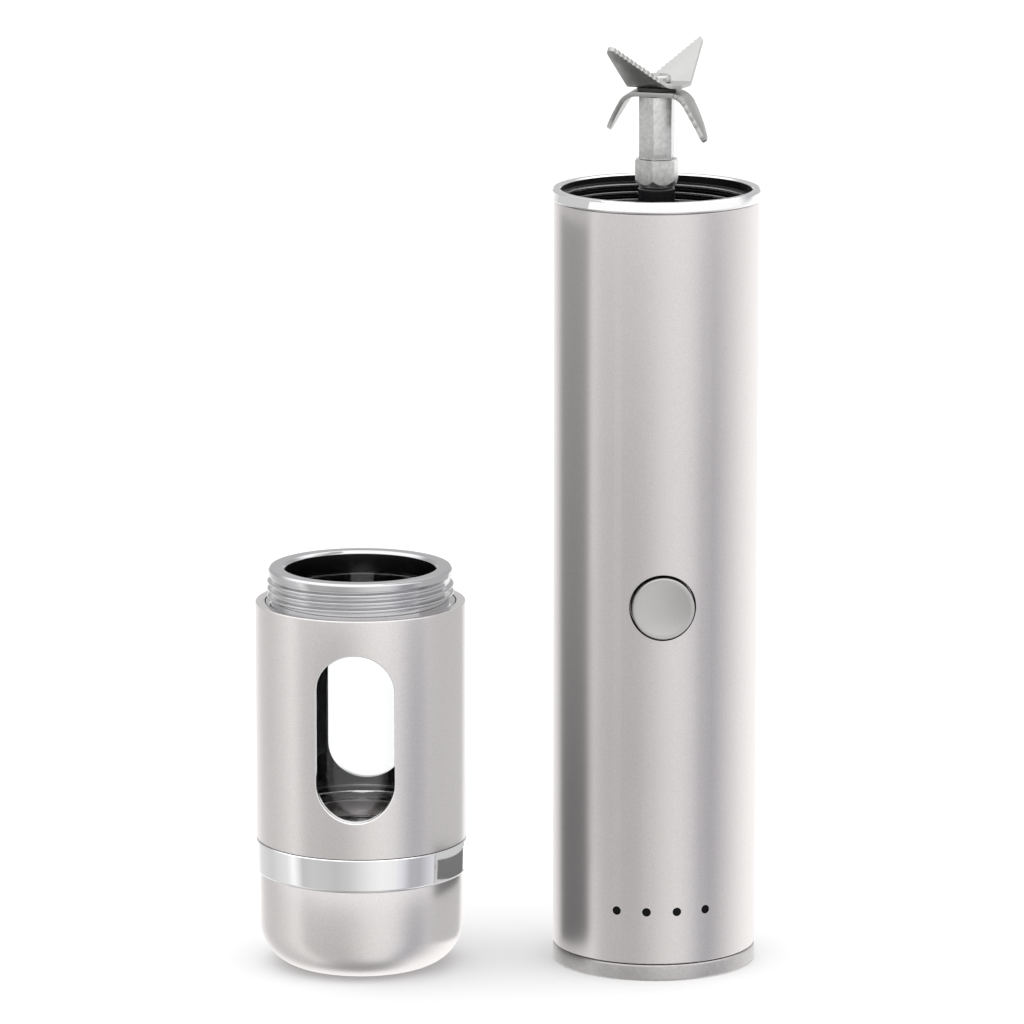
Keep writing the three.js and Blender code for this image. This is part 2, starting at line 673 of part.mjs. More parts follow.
// ---- Jar ----
function windowSleeve() {
  const shell = turned([
    [SLEEVE.bore, SLEEVE.bottom],
    [SLEEVE.radius, SLEEVE.bottom],
    [SLEEVE.radius, SLEEVE.top - 0.15],
    [SLEEVE.radius - 0.15, SLEEVE.top],
    [SLEEVE.bore, SLEEVE.top],
  ]);
  const half = WINDOW.width / 2;
  const slot = new THREE.Shape();
  slot.absarc(0, WINDOW.top - half, half, 0, Math.PI, false);
  slot.absarc(0, WINDOW.bottom + half, half, Math.PI, 2 * Math.PI, false);
  const cutter = prism(slot, -20, 20, 6).rotateX(Math.PI / 2).rotateZ(radians(JAR.windowTurnDeg));
  return cut(shell, cutter);
}

function threadedNeck() {
  const counterbore = GLASS.outer + 0.2;
  const groove = 15.2;
  const shoulder = GLASS.top + 0.2;
  const neck = turned([
    [counterbore, NECK.bottom],
    [NECK.skirt, NECK.bottom],
    [NECK.skirt, SLEEVE.top - 0.07],
    [NECK.root, SLEEVE.top - 0.07],
    [NECK.root, 66.35],
    [NECK.lip, 66.65],
    [NECK.lip, NECK.top - 0.65],
    [NECK.lip - 0.65, NECK.top],
    [NECK.bore + 0.5, NECK.top],
    [NECK.bore, NECK.top - 0.5],
    [NECK.bore, shoulder],
    [counterbore, shoulder],
    [counterbore, 60.7],
    [groove, 60.7],
    [groove, 59],
    [counterbore, 59],
  ]);
  const thread = threadRidge({
    radius: NECK.root,
    height: NECK.crest - NECK.root,
    start: 62.35,
    turnCount: 2.75,
    rootWidth: 0.9,
    crestWidth: 0.25,
  });
  return join(neck, thread);
}

function chromeBand() {
  const edge = 0.35;
  const web = { bottom: 21.1, top: 21.8, inner: 13 };
  const band = turned([
    [BAND.groove, BAND.bottom],
    [BAND.radius - edge, BAND.bottom],
    [BAND.radius, BAND.bottom + edge],
    [BAND.radius, BAND.top - 0.15],
    [BAND.radius - 0.15, BAND.top],
    [SLEEVE.bore - GAP, BAND.top],
    [SLEEVE.bore - GAP, BAND.skirtTop],
    [SEAT.outer + 0.2, BAND.skirtTop],
    [SEAT.outer + 0.2, web.top],
    [web.inner, web.top],
    [web.inner, web.bottom],
    [BAND.groove, web.bottom],
  ]);
  const thread = threadRidge({
    radius: BAND.groove,
    height: -0.65,
    start: 17.3,
    turnCount: 1.5,
    rootWidth: 0.75,
    crestWidth: 0.2,
  });
  return join(band, thread);
}

function baseCup() {
  const innerFillet = 5.5;
  const { radius, fillet, height, root, spigotTop, bore, floor } = CUP;
  const cup = turned([
    [0, 0],
    ...arc(radius - fillet, fillet, fillet, -90, 0, 6),
    [radius, height],
    [root, height],
    [root, spigotTop],
    [bore, spigotTop],
    ...arc(bore - innerFillet, floor + innerFillet, innerFillet, 0, -90, 4),
    [0, floor],
  ]);
  const thread = threadRidge({
    radius: root,
    height: 0.65,
    start: 17.3 + THREAD_PITCH / 2,
    turnCount: 1.25,
    rootWidth: 0.75,
    crestWidth: 0.2,
  });
  return join(cup, thread);
}

add(jar, "window_sleeve", "satinAluminium", windowSleeve());
add(jar, "threaded_neck", "chrome", threadedNeck());
add(jar, "glass_tube", "glass", ring(GLASS.outer, GLASS.inner, GLASS.bottom, GLASS.top));
add(jar, "upper_seal", "rubber", ring(15.05, GLASS.outer + 0.1, 59.15, 60.55));
add(jar, "lower_seal", "rubber", ring(14.3, 12.5, SEAT.top + 0.08, GLASS.bottom - 0.08));
add(jar, "seat_ring", "steel", ring(SEAT.outer, SEAT.inner, SEAT.bottom, SEAT.top));
add(jar, "chrome_band", "chrome", chromeBand());
add(jar, "cup_seal", "rubber", ring(14.2, 12.7, CUP.spigotTop + 0.08, 21));
add(jar, "base_cup", "satinAluminium", baseCup());

export default grinder;
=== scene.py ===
import math

import bmesh
import bpy
import numpy as np
from mathutils import Matrix, Vector


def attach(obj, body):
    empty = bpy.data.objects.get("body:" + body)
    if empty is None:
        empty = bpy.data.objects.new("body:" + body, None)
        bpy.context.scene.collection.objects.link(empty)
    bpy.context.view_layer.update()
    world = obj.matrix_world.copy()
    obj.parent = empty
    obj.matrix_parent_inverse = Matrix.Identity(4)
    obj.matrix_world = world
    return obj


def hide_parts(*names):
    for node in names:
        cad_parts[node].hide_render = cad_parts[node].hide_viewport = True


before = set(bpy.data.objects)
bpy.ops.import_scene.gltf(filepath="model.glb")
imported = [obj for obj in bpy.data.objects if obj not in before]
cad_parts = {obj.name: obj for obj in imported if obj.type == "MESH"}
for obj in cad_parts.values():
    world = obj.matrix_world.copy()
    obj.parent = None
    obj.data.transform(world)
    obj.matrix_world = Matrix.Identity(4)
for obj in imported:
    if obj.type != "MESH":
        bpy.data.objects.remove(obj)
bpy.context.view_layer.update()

# ---------------------------------------------------------------------------------------------
# Camera, floor, backdrop and studio light
# ---------------------------------------------------------------------------------------------
MM = 0.001  # metres
scene = bpy.context.scene
scene.view_settings.view_transform = "Standard"
scene.view_settings.look = "None"
scene.view_settings.exposure = 0.0

CAMERA_TILT = 11.307  # degrees below level
CAMERA_TURN = -3.4
camera_data = bpy.data.cameras.new("camera")
camera_data.lens = 243
camera_data.sensor_width = 36
camera = bpy.data.objects.new("camera", camera_data)
camera.location = (-0.0910, -1.1284, 0.3027)
camera.rotation_euler = (math.radians(90 - CAMERA_TILT), 0, math.radians(CAMERA_TURN))
scene.collection.objects.link(camera)
scene.camera = camera


def add(tree, kind, inputs=None, **settings):
    """A new shader node with its settings, and its inputs as values or as sockets to link."""
    made = tree.nodes.new(kind)
    for key, value in settings.items():
        setattr(made, key, value)
    for socket, value in (inputs or {}).items():
        if isinstance(value, bpy.types.NodeSocket):
            tree.links.new(value, made.inputs[socket])
        else:
            made.inputs[socket].default_value = value
    return made


# The studio: soft boxes and dark flags all round, as brightness by bearing from the camera's side,
# positive to the right.
BEARINGS = [
    (-180, 1.25), (-155, 1.15), (-142, 0.82), (-130, 0.74), (-115, 0.68), (-100, 0.78), (-88, 0.86),
    (-79, 1.12), (-74, 0.95), (-66, 0.6), (-54, 0.64), (-40, 0.62), (-26, 0.58), (-12, 0.66),
    (0, 0.80), (12, 0.93), (24, 0.99), (38, 0.94), (46, 0.80), (56, 0.50), (68, 0.48), (80, 0.68),
    (95, 0.90), (112, 1.12), (135, 1.28), (180, 1.25),
]
# The two level directions that bearings are measured from: the camera's right, and towards it.
TURN_COS, TURN_SIN = 0.9982, 0.0593
CAMERA_RIGHT = (TURN_COS, -TURN_SIN, 0)
TOWARDS_CAMERA = (-TURN_SIN, -TURN_COS, 0)
# Light by height, from straight down at -1 to straight up at 1.
OVERHEAD = (1.62, 1.62, 1.63, 1)
FRONT_BAND = (1.12, 1.12, 1.12, 1)
BACK_BAND = (0.6, 0.6, 0.605, 1)
UNDERFOOT = (0.4, 0.4, 0.4, 1)


def make_world():
    """Lights the scene by bearing near the horizon, and by height above and below it."""
    world = bpy.data.worlds.new("studio")
    world.use_nodes = True
    scene.world = world
    tree = world.node_tree
    tree.nodes.clear()
    way = add(tree, "ShaderNodeTexCoord").outputs["Generated"]
    right = add(tree, "ShaderNodeVectorMath", {0: way, 1: CAMERA_RIGHT}, operation="DOT_PRODUCT")
    near = add(tree, "ShaderNodeVectorMath", {0: way, 1: TOWARDS_CAMERA}, operation="DOT_PRODUCT")
    bearing = add(
        tree,
        "ShaderNodeMath",
        {0: right.outputs["Value"], 1: near.outputs["Value"]},
        operation="ARCTAN2",
    )
    share = add(
        tree,
        "ShaderNodeMapRange",
        {"Value": bearing.outputs[0], "From Min": -math.pi, "From Max": math.pi},
    )
    ramp = add(tree, "ShaderNodeValToRGB", {"Fac": share.outputs[0]})
    stops = ramp.color_ramp.elements
    stops[0].position = 0
    stops[1].position = 1
    for angle, _ in BEARINGS[1:-1]:
        stops.new((angle + 180) / 360)
    for stop, (angle, level) in zip(stops, BEARINGS):
        blue = 1.05 if 45 < angle < 85 else 0.99  # the flag on the right is slightly blue
        stop.color = (level, level, level * blue, 1)
    height = add(tree, "ShaderNodeSeparateXYZ", {0: way}).outputs["Z"]

    def layered(value, start, end, first, second):
        """Fades from the first light to the second as a value goes from start to end."""
        share = add(
            tree,
            "ShaderNodeMapRange",
            {"Value": value, "From Min": start, "From Max": end},
            interpolation_type="SMOOTHSTEP",
        )
        mixed = add(tree, "ShaderNodeMix", {0: share.outputs[0], 6: first, 7: second}, data_type="RGBA")
        return mixed.outputs[2]

    # Just above the horizon: a bright front half and a greyer back half.
    turned_away = add(tree, "ShaderNodeMath", {0: near.outputs["Value"], 1: -1}, operation="MULTIPLY")
    middle = layered(turned_away.outputs[0], 0.15, 0.55, FRONT_BAND, BACK_BAND)
    level = layered(height, 0.0, 0.1, ramp.outputs["Color"], middle)
    level = layered(height, 0.45, 0.72, level, OVERHEAD)
    level = layered(height, -0.85, -1.0, level, UNDERFOOT)
    light = add(tree, "ShaderNodeBackground", {"Color": level, "Strength": 1.0})
    add(tree, "ShaderNodeOutputWorld", {"Surface": light.outputs[0]})


make_world()


def ring_points(radius, count):
    """Points on a circle about the origin, as (x, y)."""
    angles = np.linspace(0, 2 * math.pi, count + 1)[:-1]
    return [(radius * math.cos(a), radius * math.sin(a)) for a in angles]


def place_on_stage(name, mesh, material):
    mesh.materials.append(material)
    made = bpy.data.objects.new(name, mesh)
    scene.collection.objects.link(made)
    return made


FLOOR_RADIUS = 4.0  # metres
BACKDROP_RADIUS = 4.2
FLOOR_SIDES = 96


def make_stage():
    """A pale paper floor, and a white backdrop that only the camera and clear parts see."""
    paper = bpy.data.materials.new("floor_paper")
    paper.use_nodes = True
    shader = paper.node_tree.nodes["Principled BSDF"]
    shader.inputs["Base Color"].default_value = (0.86, 0.86, 0.86, 1)
    shader.inputs["Roughness"].default_value = 1.0
    shader.inputs["Specular IOR Level"].default_value = 0.0
    mesh = bpy.data.meshes.new("floor")
    rim = [(x, y, 0) for x, y in ring_points(FLOOR_RADIUS, FLOOR_SIDES)]
    mesh.from_pydata(rim, [], [list(range(FLOOR_SIDES))])
    floor = place_on_stage("floor", mesh, paper)
    floor.visible_glossy = False

    white = bpy.data.materials.new("backdrop_white")
    white.use_nodes = True
    tree = white.node_tree
    tree.nodes.clear()
    glow = add(tree, "ShaderNodeEmission", {"Color": (1, 1, 1, 1), "Strength": 1.0})
    add(tree, "ShaderNodeOutputMaterial", {"Surface": glow.outputs[0]})
    mesh = bpy.data.meshes.new("backdrop")
    bm = bmesh.new()
    bmesh.ops.create_uvsphere(bm, u_segments=48, v_segments=24, radius=BACKDROP_RADIUS)
    bm.to_mesh(mesh)
    bm.free()
    dome = place_on_stage("backdrop", mesh, white)
    dome.visible_diffuse = False
    dome.visible_glossy = False
    dome.visible_shadow = False
    dome.visible_volume_scatter = False


CARD_FADE = 0.13  # the height over which a card's light changes, in metres


def stage_card(name, start, end, low, high, level, level_up):
    """An upright card close to the object that only its reflections see, between two (x, y) places
    and two heights in mm. Its light changes evenly from level at the floor to level_up."""
    made = bpy.data.materials.new(name)
    made.use_nodes = True
    tree = made.node_tree
    tree.nodes.clear()
    place = add(tree, "ShaderNodeTexCoord").outputs["Object"]
    height = add(tree, "ShaderNodeSeparateXYZ", {0: place}).outputs["Z"]
    now = span(tree, height, 0, CARD_FADE, level, level_up)
    glow = add(tree, "ShaderNodeEmission", {"Color": (1, 1, 1, 1), "Strength": now})
    add(tree, "ShaderNodeOutputMaterial", {"Surface": glow.outputs[0]})
    mesh = bpy.data.meshes.new(name)
    corners = [(*start, low), (*end, low), (*end, high), (*start, high)]
    mesh.from_pydata([tuple(MM * v for v in corner) for corner in corners], [], [(0, 1, 2, 3)])
    card = place_on_stage(name, mesh, made)
    card.visible_camera = False
    card.visible_diffuse = False
    card.visible_transmission = False
    card.visible_shadow = False


# ---------------------------------------------------------------------------------------------
# Materials
# ---------------------------------------------------------------------------------------------


def surface(name):
    """A new material, with its node tree and its shader."""
    made = bpy.data.materials.new(name)
    made.use_nodes = True
    tree = made.node_tree
    return made, tree, tree.nodes["Principled BSDF"]


def noise(tree, place, scale, detail=2.0, roughness=0.5):
    made = add(
        tree,
        "ShaderNodeTexNoise",
        {"Vector": place, "Scale": scale, "Detail": detail, "Roughness": roughness},
    )
    return made.outputs["Fac"]


def stretched(tree, place, scale):
    """The place with its own scale along x, y and z, so that noise becomes lines."""
    return add(tree, "ShaderNodeMapping", {"Vector": place, "Scale": scale}).outputs[0]


def span(tree, value, low, high, to_low, to_high):
    """A value's range carried over to another range."""
    made = add(
        tree,
        "ShaderNodeMapRange",
        {"Value": value, "From Min": low, "From Max": high, "To Min": to_low, "To Max": to_high},
    )
    return made.outputs[0]


def blend_colours(tree, share, first, second):
    made = add(tree, "ShaderNodeMix", {0: share, 6: first, 7: second}, data_type="RGBA")
    return made.outputs[2]


def total(tree, *values):
    result = values[0]
    for value in values[1:]:
        result = add(tree, "ShaderNodeMath", {0: result, 1: value}, operation="ADD").outputs[0]
    return result


def times(tree, value, factor):
    return add(tree, "ShaderNodeMath", {0: value, 1: factor}, operation="MULTIPLY").outputs[0]


def finish_surface(
    name,
    tones,
    rough,
    grain=None,
    lines=None,
    smudge=35,
    metallic=1.0,
    speckle=0.0,
    scratches=0.0,
    settings=None,
):
    """A solid surface: two tones that drift into each other, a grain or turning lines in the bump,
    and a roughness that changes with handling marks.

    tones     two colours that mix over the smudges
    rough     lowest and highest roughness
    grain     (scale, bump height in metres): an even, blasted or moulded grain
    lines     (scale along x, y and z, bump height): drawn, turned or brushed lines
    smudge    scale of the drift between the two tones
    speckle   how much single grains differ in brightness
    scratches how strongly fine hairline marks lift the roughness
    settings  other inputs of the shader, by name
    """
    made, tree, shader = surface(name)
    place = add(tree, "ShaderNodeTexCoord").outputs["Object"]
    drift = noise(tree, place, smudge, 3.0, 0.55)
    colour = blend_colours(tree, span(tree, drift, 0.2, 0.8, 0, 1), (*tones[0], 1), (*tones[1], 1))
    rough_now = span(tree, drift, 0.2, 0.8, *rough)
    heights = []
    if grain:
        scale, height = grain
        grains = noise(tree, place, scale, 1.5, 0.6)
        heights.append(times(tree, grains, height))
        if speckle:
            light = span(tree, grains, 0.3, 0.7, 1 - speckle, 1 + speckle)
            bright = add(tree, "ShaderNodeVectorMath", {0: colour, 3: light}, operation="SCALE")
            colour = bright.outputs[0]
    if lines:
        scale, height = lines
        marks = noise(tree, stretched(tree, place, scale), 1.0, 2.0, 0.6)
        heights.append(times(tree, marks, height))
        rough_now = total(tree, rough_now, span(tree, marks, 0.3, 0.7, -0.03, 0.03))
    if scratches:
        hair = noise(tree, stretched(tree, place, (2600, 2600, 90)), 1.0, 1.0, 0.4)
        hair = span(tree, hair, 0.70, 0.76, 0, scratches)
        rough_now = total(tree, rough_now, hair)
    tree.links.new(colour, shader.inputs["Base Color"])
    tree.links.new(rough_now, shader.inputs["Roughness"])
    if heights:
        relief = {"Height": total(tree, *heights), "Strength": 1.0, "Distance": 1.0}
        bump = add(tree, "ShaderNodeBump", relief)
        tree.links.new(bump.outputs[0], shader.inputs["Normal"])
    shader.inputs["Metallic"].default_value = metallic
    for key, value in (settings or {}).items():
        shader.inputs[key].default_value = value
    return made


make_stage()
# The motor body sees a dark flag on its left; the jar sees a light card, with a gap at its band.
stage_card("flag_dark", (-25.2, -13), (-25.2, 5), 0, 126.6, 0.17, 0.42)
for card_name, card_low, card_high in (("card_light_low", 0, 13.5), ("card_light_high", 18.0, 156)):
    stage_card(card_name, (-26, -14), (-26, 6), card_low, card_high, 0.66, 0.66)

satin = finish_surface(
    "satin_aluminium",
    ((0.695, 0.665, 0.663), (0.725, 0.697, 0.695)),
    (0.285, 0.31),
    grain=(4000, 0.0000026),
    speckle=0.055,
)
# A lighter copy of the satin aluminium: painted light for the brighter light that falls on the jar.
satin_jar_painted_light = finish_surface(
    "satin_aluminium_jar_painted_light",
    ((0.755, 0.725, 0.722), (0.785, 0.757, 0.754)),
    (0.285, 0.31),
    grain=(4000, 0.0000026),
    speckle=0.055,
)
satin_base = finish_surface(
    "satin_aluminium_base",
    ((0.48, 0.465, 0.46), (0.58, 0.565, 0.56)),
    (0.34, 0.44),
    grain=(2600, 0.000005),
    speckle=0.08,
    smudge=150,
)
# Painted shade: near black on the inside of the bores, the collar and the sleeve and on the button
# hole's wall, where shade falls.
bore_painted_shade = finish_surface(
    "bore_painted_shade",
    ((0.030, 0.030, 0.031), (0.045, 0.045, 0.046)),
    (0.26, 0.38),
    lines=((300, 300, 6000), 0.000002),
)
# Painted shade, lighter: mid grey on the thread crests inside the collar.
thread_crest_painted_shade = finish_surface(
    "thread_crest_painted_shade",
    ((0.26, 0.26, 0.26), (0.34, 0.34, 0.34)),
    (0.2, 0.3),
    lines=((300, 300, 6000), 0.000002),
)
satin_button = finish_surface(
    "satin_button",
    ((0.52, 0.505, 0.505), (0.55, 0.535, 0.535)),
    (0.285, 0.33),
    grain=(4400, 0.000002),
    speckle=0.03,
)
bright_edge = finish_surface(
    "machined_edge",
    ((0.84, 0.83, 0.83), (0.88, 0.87, 0.87)),
    (0.14, 0.2),
    lines=((400, 400, 9000), 0.0000015),
)
chrome = finish_surface(
    "chrome_plate",
    ((0.86, 0.86, 0.87), (0.90, 0.90, 0.91)),
    (0.05, 0.09),
    lines=((200, 200, 9000), 0.0000007),
    scratches=0.08,
)
# A darker copy of the chrome plate: painted shade for the dark reflections on the neck's threads.
neck_chrome_painted_shade = finish_surface(
    "neck_chrome_painted_shade",
    ((0.54, 0.54, 0.55), (0.66, 0.66, 0.67)),
    (0.06, 0.12),
    lines=((200, 200, 9000), 0.0000007),
)
steel = finish_surface(
    "turned_steel",
    ((0.56, 0.56, 0.55), (0.62, 0.62, 0.61)),
    (0.22, 0.32),
    lines=((300, 300, 7000), 0.000002),
    scratches=0.1,
)
mottled_steel = finish_surface(
    "mottled_steel",
    ((0.60, 0.60, 0.59), (0.80, 0.80, 0.79)),
    (0.28, 0.4),
    grain=(1500, 0.000009),
    speckle=0.12,
    smudge=400,
)
drawn_steel = finish_surface(
    "drawn_steel",
    ((0.52, 0.52, 0.51), (0.60, 0.60, 0.59)),
    (0.24, 0.34),
    lines=((9000, 9000, 260), 0.000002),
)
blade_steel = finish_surface(
    "blade_steel",
    ((0.42, 0.42, 0.41), (0.50, 0.50, 0.49)),
    (0.34, 0.44),
    lines=((600, 9000, 900), 0.0000022),
    smudge=220,
)
magnet = finish_surface(
    "sintered_magnet",
    ((0.07, 0.07, 0.068), (0.11, 0.105, 0.1)),
    (0.5, 0.68),
    grain=(3000, 0.00001),
    metallic=0.6,
    speckle=0.25,
)
bronze = finish_surface(
    "sintered_bronze",
    ((0.33, 0.2, 0.075), (0.42, 0.27, 0.11)),
    (0.38, 0.55),
    grain=(4200, 0.000008),
    speckle=0.2,
)
copper = finish_surface(
    "enamelled_copper",
    ((0.50, 0.16, 0.06), (0.62, 0.24, 0.1)),
    (0.2, 0.32),
    lines=((350, 350, 2600), 0.00003),
)
carbon = finish_surface(
    "brush_carbon",
    ((0.018, 0.018, 0.019), (0.03, 0.03, 0.031)),
    (0.55, 0.75),
    grain=(2600, 0.000008),
    metallic=0.1,
    speckle=0.3,
)
black_plastic = finish_surface(
    "black_moulding",
    ((0.010, 0.010, 0.011), (0.017, 0.017, 0.018)),
    (0.38, 0.52),
    grain=(2600, 0.000004),
    metallic=0.0,
    settings={"Specular IOR Level": 0.45},
)
gloss_black = finish_surface(
    "black_gloss",
    ((0.006, 0.006, 0.007), (0.010, 0.010, 0.011)),
    (0.12, 0.22),
    grain=(1500, 0.000002),
    metallic=0.0,
)
white_plastic = finish_surface(
    "white_moulding",
    ((0.66, 0.65, 0.60), (0.72, 0.71, 0.67)),
    (0.38, 0.5),
    grain=(2600, 0.000005),
    metallic=0.0,
)
rubber = finish_surface(
    "black_rubber",
    ((0.012, 0.012, 0.012), (0.022, 0.022, 0.022)),
    (0.6, 0.78),
    grain=(3400, 0.000008),
    metallic=0.0,
    speckle=0.2,
    settings={"Sheen Weight": 0.15},
)
silicone = finish_surface(
    "clear_silicone",
    ((0.56, 0.57, 0.57), (0.64, 0.65, 0.65)),
    (0.4, 0.55),
    grain=(2200, 0.000006),
    metallic=0.0,
    settings={"Subsurface Weight": 0.15, "Subsurface Scale": 0.001},
)
circuit = finish_surface(
    "circuit_board",
    ((0.010, 0.085, 0.03), (0.018, 0.12, 0.045)),
    (0.3, 0.42),
    lines=((900, 2500, 900), 0.00001),
    smudge=700,
    metallic=0.0,
)
wrap = finish_surface(
    "battery_wrap",
    ((0.03, 0.14, 0.42), (0.04, 0.18, 0.5)),
    (0.25, 0.36),
    grain=(900, 0.00001),
    metallic=0.0,
)
red_wire = finish_surface(
    "red_insulation",
    ((0.42, 0.012, 0.01), (0.5, 0.02, 0.016)),
    (0.35, 0.48),
    grain=(2500, 0.000005),
    metallic=0.0,
)
black_wire = finish_surface(
    "black_insulation",
    ((0.012, 0.012, 0.012), (0.02, 0.02, 0.02)),
    (0.35, 0.48),
    grain=(2500, 0.000005),
    metallic=0.0,
)


def make_glass():
    """Clear thin glass: it hardly bends light, and its coat gives the reflections."""
    made, tree, shader = surface("window_glass")
    place = add(tree, "ShaderNodeTexCoord").outputs["Object"]
    dust = noise(tree, place, 260, 4.0, 0.6)
    tree.links.new(span(tree, dust, 0.45, 0.8, 0.004, 0.06), shader.inputs["Roughness"])
    shader.inputs["Base Color"].default_value = (0.985, 0.992, 0.99, 1)
    shader.inputs["Transmission Weight"].default_value = 1.0
    shader.inputs["IOR"].default_value = 1.01
    shader.inputs["Coat Weight"].default_value = 1.0
    shader.inputs["Coat IOR"].default_value = 1.5
    shader.inputs["Coat Roughness"].default_value = 0.02
    return made


glass = make_glass()
smoked = finish_surface(
    "smoked_lens",
    ((0.003, 0.003, 0.004), (0.005, 0.005, 0.006)),
    (0.1, 0.2),
    grain=(1800, 0.000003),
    metallic=0.0,
    settings={"Specular IOR Level": 0.1},
)

# ---------------------------------------------------------------------------------------------
# Shapes, in millimetres
# ---------------------------------------------------------------------------------------------
ROUNDEST = 360  # sides of the tube, the sleeve and the threaded rings on top of them
FINE = 288  # sides of a large round
SMALL = 96  # sides of a small round
SMALLEST = 40  # sides of a light or a screw hole

# Radii that several pieces share
TUBE = 17  # outside of the motor body's tube
SLEEVE = 17.55  # outside of the jar's sleeve
BORE = 16  # inside of both
PLUG = 15.85  # what slides into that inside
SCREW_HOLE = 1.25  # in the blades and the spindle


def arc(x, y, radius, start, end, count):
    """Points along an arc about (x, y), between two angles in radians."""
    angles = np.linspace(start, end, count)
    return [(x + radius * math.cos(a), y + radius * math.sin(a)) for a in angles]


def rounded(corners, steps=4):
    """A closed outline through (radius, height, rounding) corners."""
    points = []
    for i, (r, z, rounding) in enumerate(corners):
        here = np.array([r, z], float)
        if not rounding:
            points.append(tuple(here))
            continue
        before = np.array(corners[i - 1][:2], float) - here
        after = np.array(corners[(i + 1) % len(corners)][:2], float) - here
        length_before, length_after = np.linalg.norm(before), np.linalg.norm(after)
        before, after = before / length_before, after / length_after
        half = math.acos(float(np.clip(before @ after, -1, 1))) / 2
        reach = min(rounding / math.tan(half), 0.49 * length_before, 0.49 * length_after)
        middle = here + (before + after) / np.linalg.norm(before + after) * reach / math.cos(half)
        start, end = here + before * reach - middle, here + after * reach - middle
        first = math.atan2(start[1], start[0])
        turn = math.atan2(end[1], end[0]) - first
        turn = (turn + math.pi) % (2 * math.pi) - math.pi
        radius = np.linalg.norm(start)
        for s in range(steps + 1):
            angle = first + turn * s / steps
            points.append((middle[0] + radius * math.cos(angle), middle[1] + radius * math.sin(angle)))
    return points


def tidy(mesh):
    """Merges points that meet and turns every face outwards."""
    bm = bmesh.new()
    bm.from_mesh(mesh)
    bmesh.ops.remove_doubles(bm, verts=bm.verts, dist=1e-5)
    bmesh.ops.recalc_face_normals(bm, faces=bm.faces)
    bm.to_mesh(mesh)
    bm.free()
    return mesh


def solid(verts, faces):
    mesh = bpy.data.meshes.new("shape")
    mesh.from_pydata([tuple(map(float, v)) for v in verts], [], faces)
    return tidy(mesh)


def grid_faces(rows, columns):
    """Faces between rows of points that close on themselves both ways."""
    faces = []
    for i in range(rows):
        a, b = i * columns, ((i + 1) % rows) * columns
        for j in range(columns):
            k = (j + 1) % columns
            faces.append((a + j, a + k, b + k, b + j))
    return faces


def spin(outline, sides=FINE, ridge=None):
    """A solid of revolution about Z from a closed outline; ridge adds to the radius."""
    points = np.array(outline, float)
    angle = np.linspace(0, 2 * math.pi, sides, endpoint=False)[None, :]
    r = points[:, :1] + 0 * angle
    z = points[:, 1:] + 0 * angle
    if ridge is not None:
        r = r + ridge(angle + 0 * r, r, z)
    verts = np.stack([r * np.cos(angle), r * np.sin(angle), z], -1).reshape(-1, 3)
    return solid(verts, grid_faces(len(points), sides))


def thread(wall, height, start, turn_count, root_width, crest_width, pitch=1.25):
    """A right-handed helical ridge on the wall radius, as a function for spin. A negative height
    makes it stand inwards."""
    run_out = 0.1  # turns over which the ridge fades at each end

    def ridge(angle, r, z):
        best = np.zeros_like(r)
        for k in range(int(turn_count) + 1):
            t = angle / (2 * math.pi) + k
            away = np.abs(z - (start + pitch * t))
            rise = np.clip((root_width / 2 - away) / ((root_width - crest_width) / 2), 0, 1)
            rise = 0.5 * rise + 0.5 * rise * rise * (3 - 2 * rise)
            fade = np.clip(np.minimum(t, turn_count - t) / run_out, 0, 1)
            best = np.maximum(best, rise * fade)
        return np.where(np.abs(r - wall) < 1e-6, best * height, 0)

    return ridge


def dense(r, low, high, step=0.05):
    """Points along a straight wall, close together."""
    count = max(1, round(abs(high - low) / step))
    return [(r, low + (high - low) * i / count) for i in range(count + 1)]


def prism(outline, low, high):
    """An (x, y) outline drawn up between two heights."""
    count = len(outline)
    verts = [(x, y, low) for x, y in outline] + [(x, y, high) for x, y in outline]
    sides = [(i, (i + 1) % count, (i + 1) % count + count, i + count) for i in range(count)]
    return solid(verts, [tuple(range(count))[::-1], tuple(range(count, 2 * count)), *sides])


def drum(radius, low, high, sides=SMALL):
    return prism(ring_points(radius, sides), low, high)


def box(low, high):
    outline = [(low[0], low[1]), (high[0], low[1]), (high[0], high[1]), (low[0], high[1])]
    return prism(outline, low[2], high[2])


def moved(mesh, x=0.0, y=0.0, z=0.0):
    mesh.transform(Matrix.Translation((x, y, z)))
    return mesh


def spun(mesh, degrees, axis="Z"):
    mesh.transform(Matrix.Rotation(math.radians(degrees), 4, axis))
    return mesh


def face_front(mesh, height):
    """Turns a shape made along Z so that its top points towards -Y, at a height."""
    mesh.transform(Matrix(((1, 0, 0, 0), (0, 0, -1, 0), (0, 1, 0, height), (0, 0, 0, 1))))
    return mesh


def evaluated(mesh, prepare):
    """The mesh after modifiers that prepare adds to a scratch object."""
    scratch = bpy.data.objects.new("scratch", mesh)
    scene.collection.objects.link(scratch)
    helpers = prepare(scratch)
    bpy.context.view_layer.update()
    graph = bpy.context.evaluated_depsgraph_get()
    result = bpy.data.meshes.new_from_object(scratch.evaluated_get(graph))
    for extra in [scratch, *helpers]:
        used = extra.data
        bpy.data.objects.remove(extra)
        bpy.data.meshes.remove(used)
    return result


def combine(mesh, operation, *tools):
    """The mesh after boolean steps with other closed meshes, which are used up."""

    def prepare(scratch):
        helpers = []
        for tool in tools:
            helper = bpy.data.objects.new("tool", tool)
            scene.collection.objects.link(helper)
            step = scratch.modifiers.new("cut", "BOOLEAN")
            step.operation = operation
            step.solver = "EXACT"
            step.object = helper
            helpers.append(helper)
        return helpers

    return evaluated(mesh, prepare)


def cut(mesh, *tools):
    return combine(mesh, "DIFFERENCE", *tools)


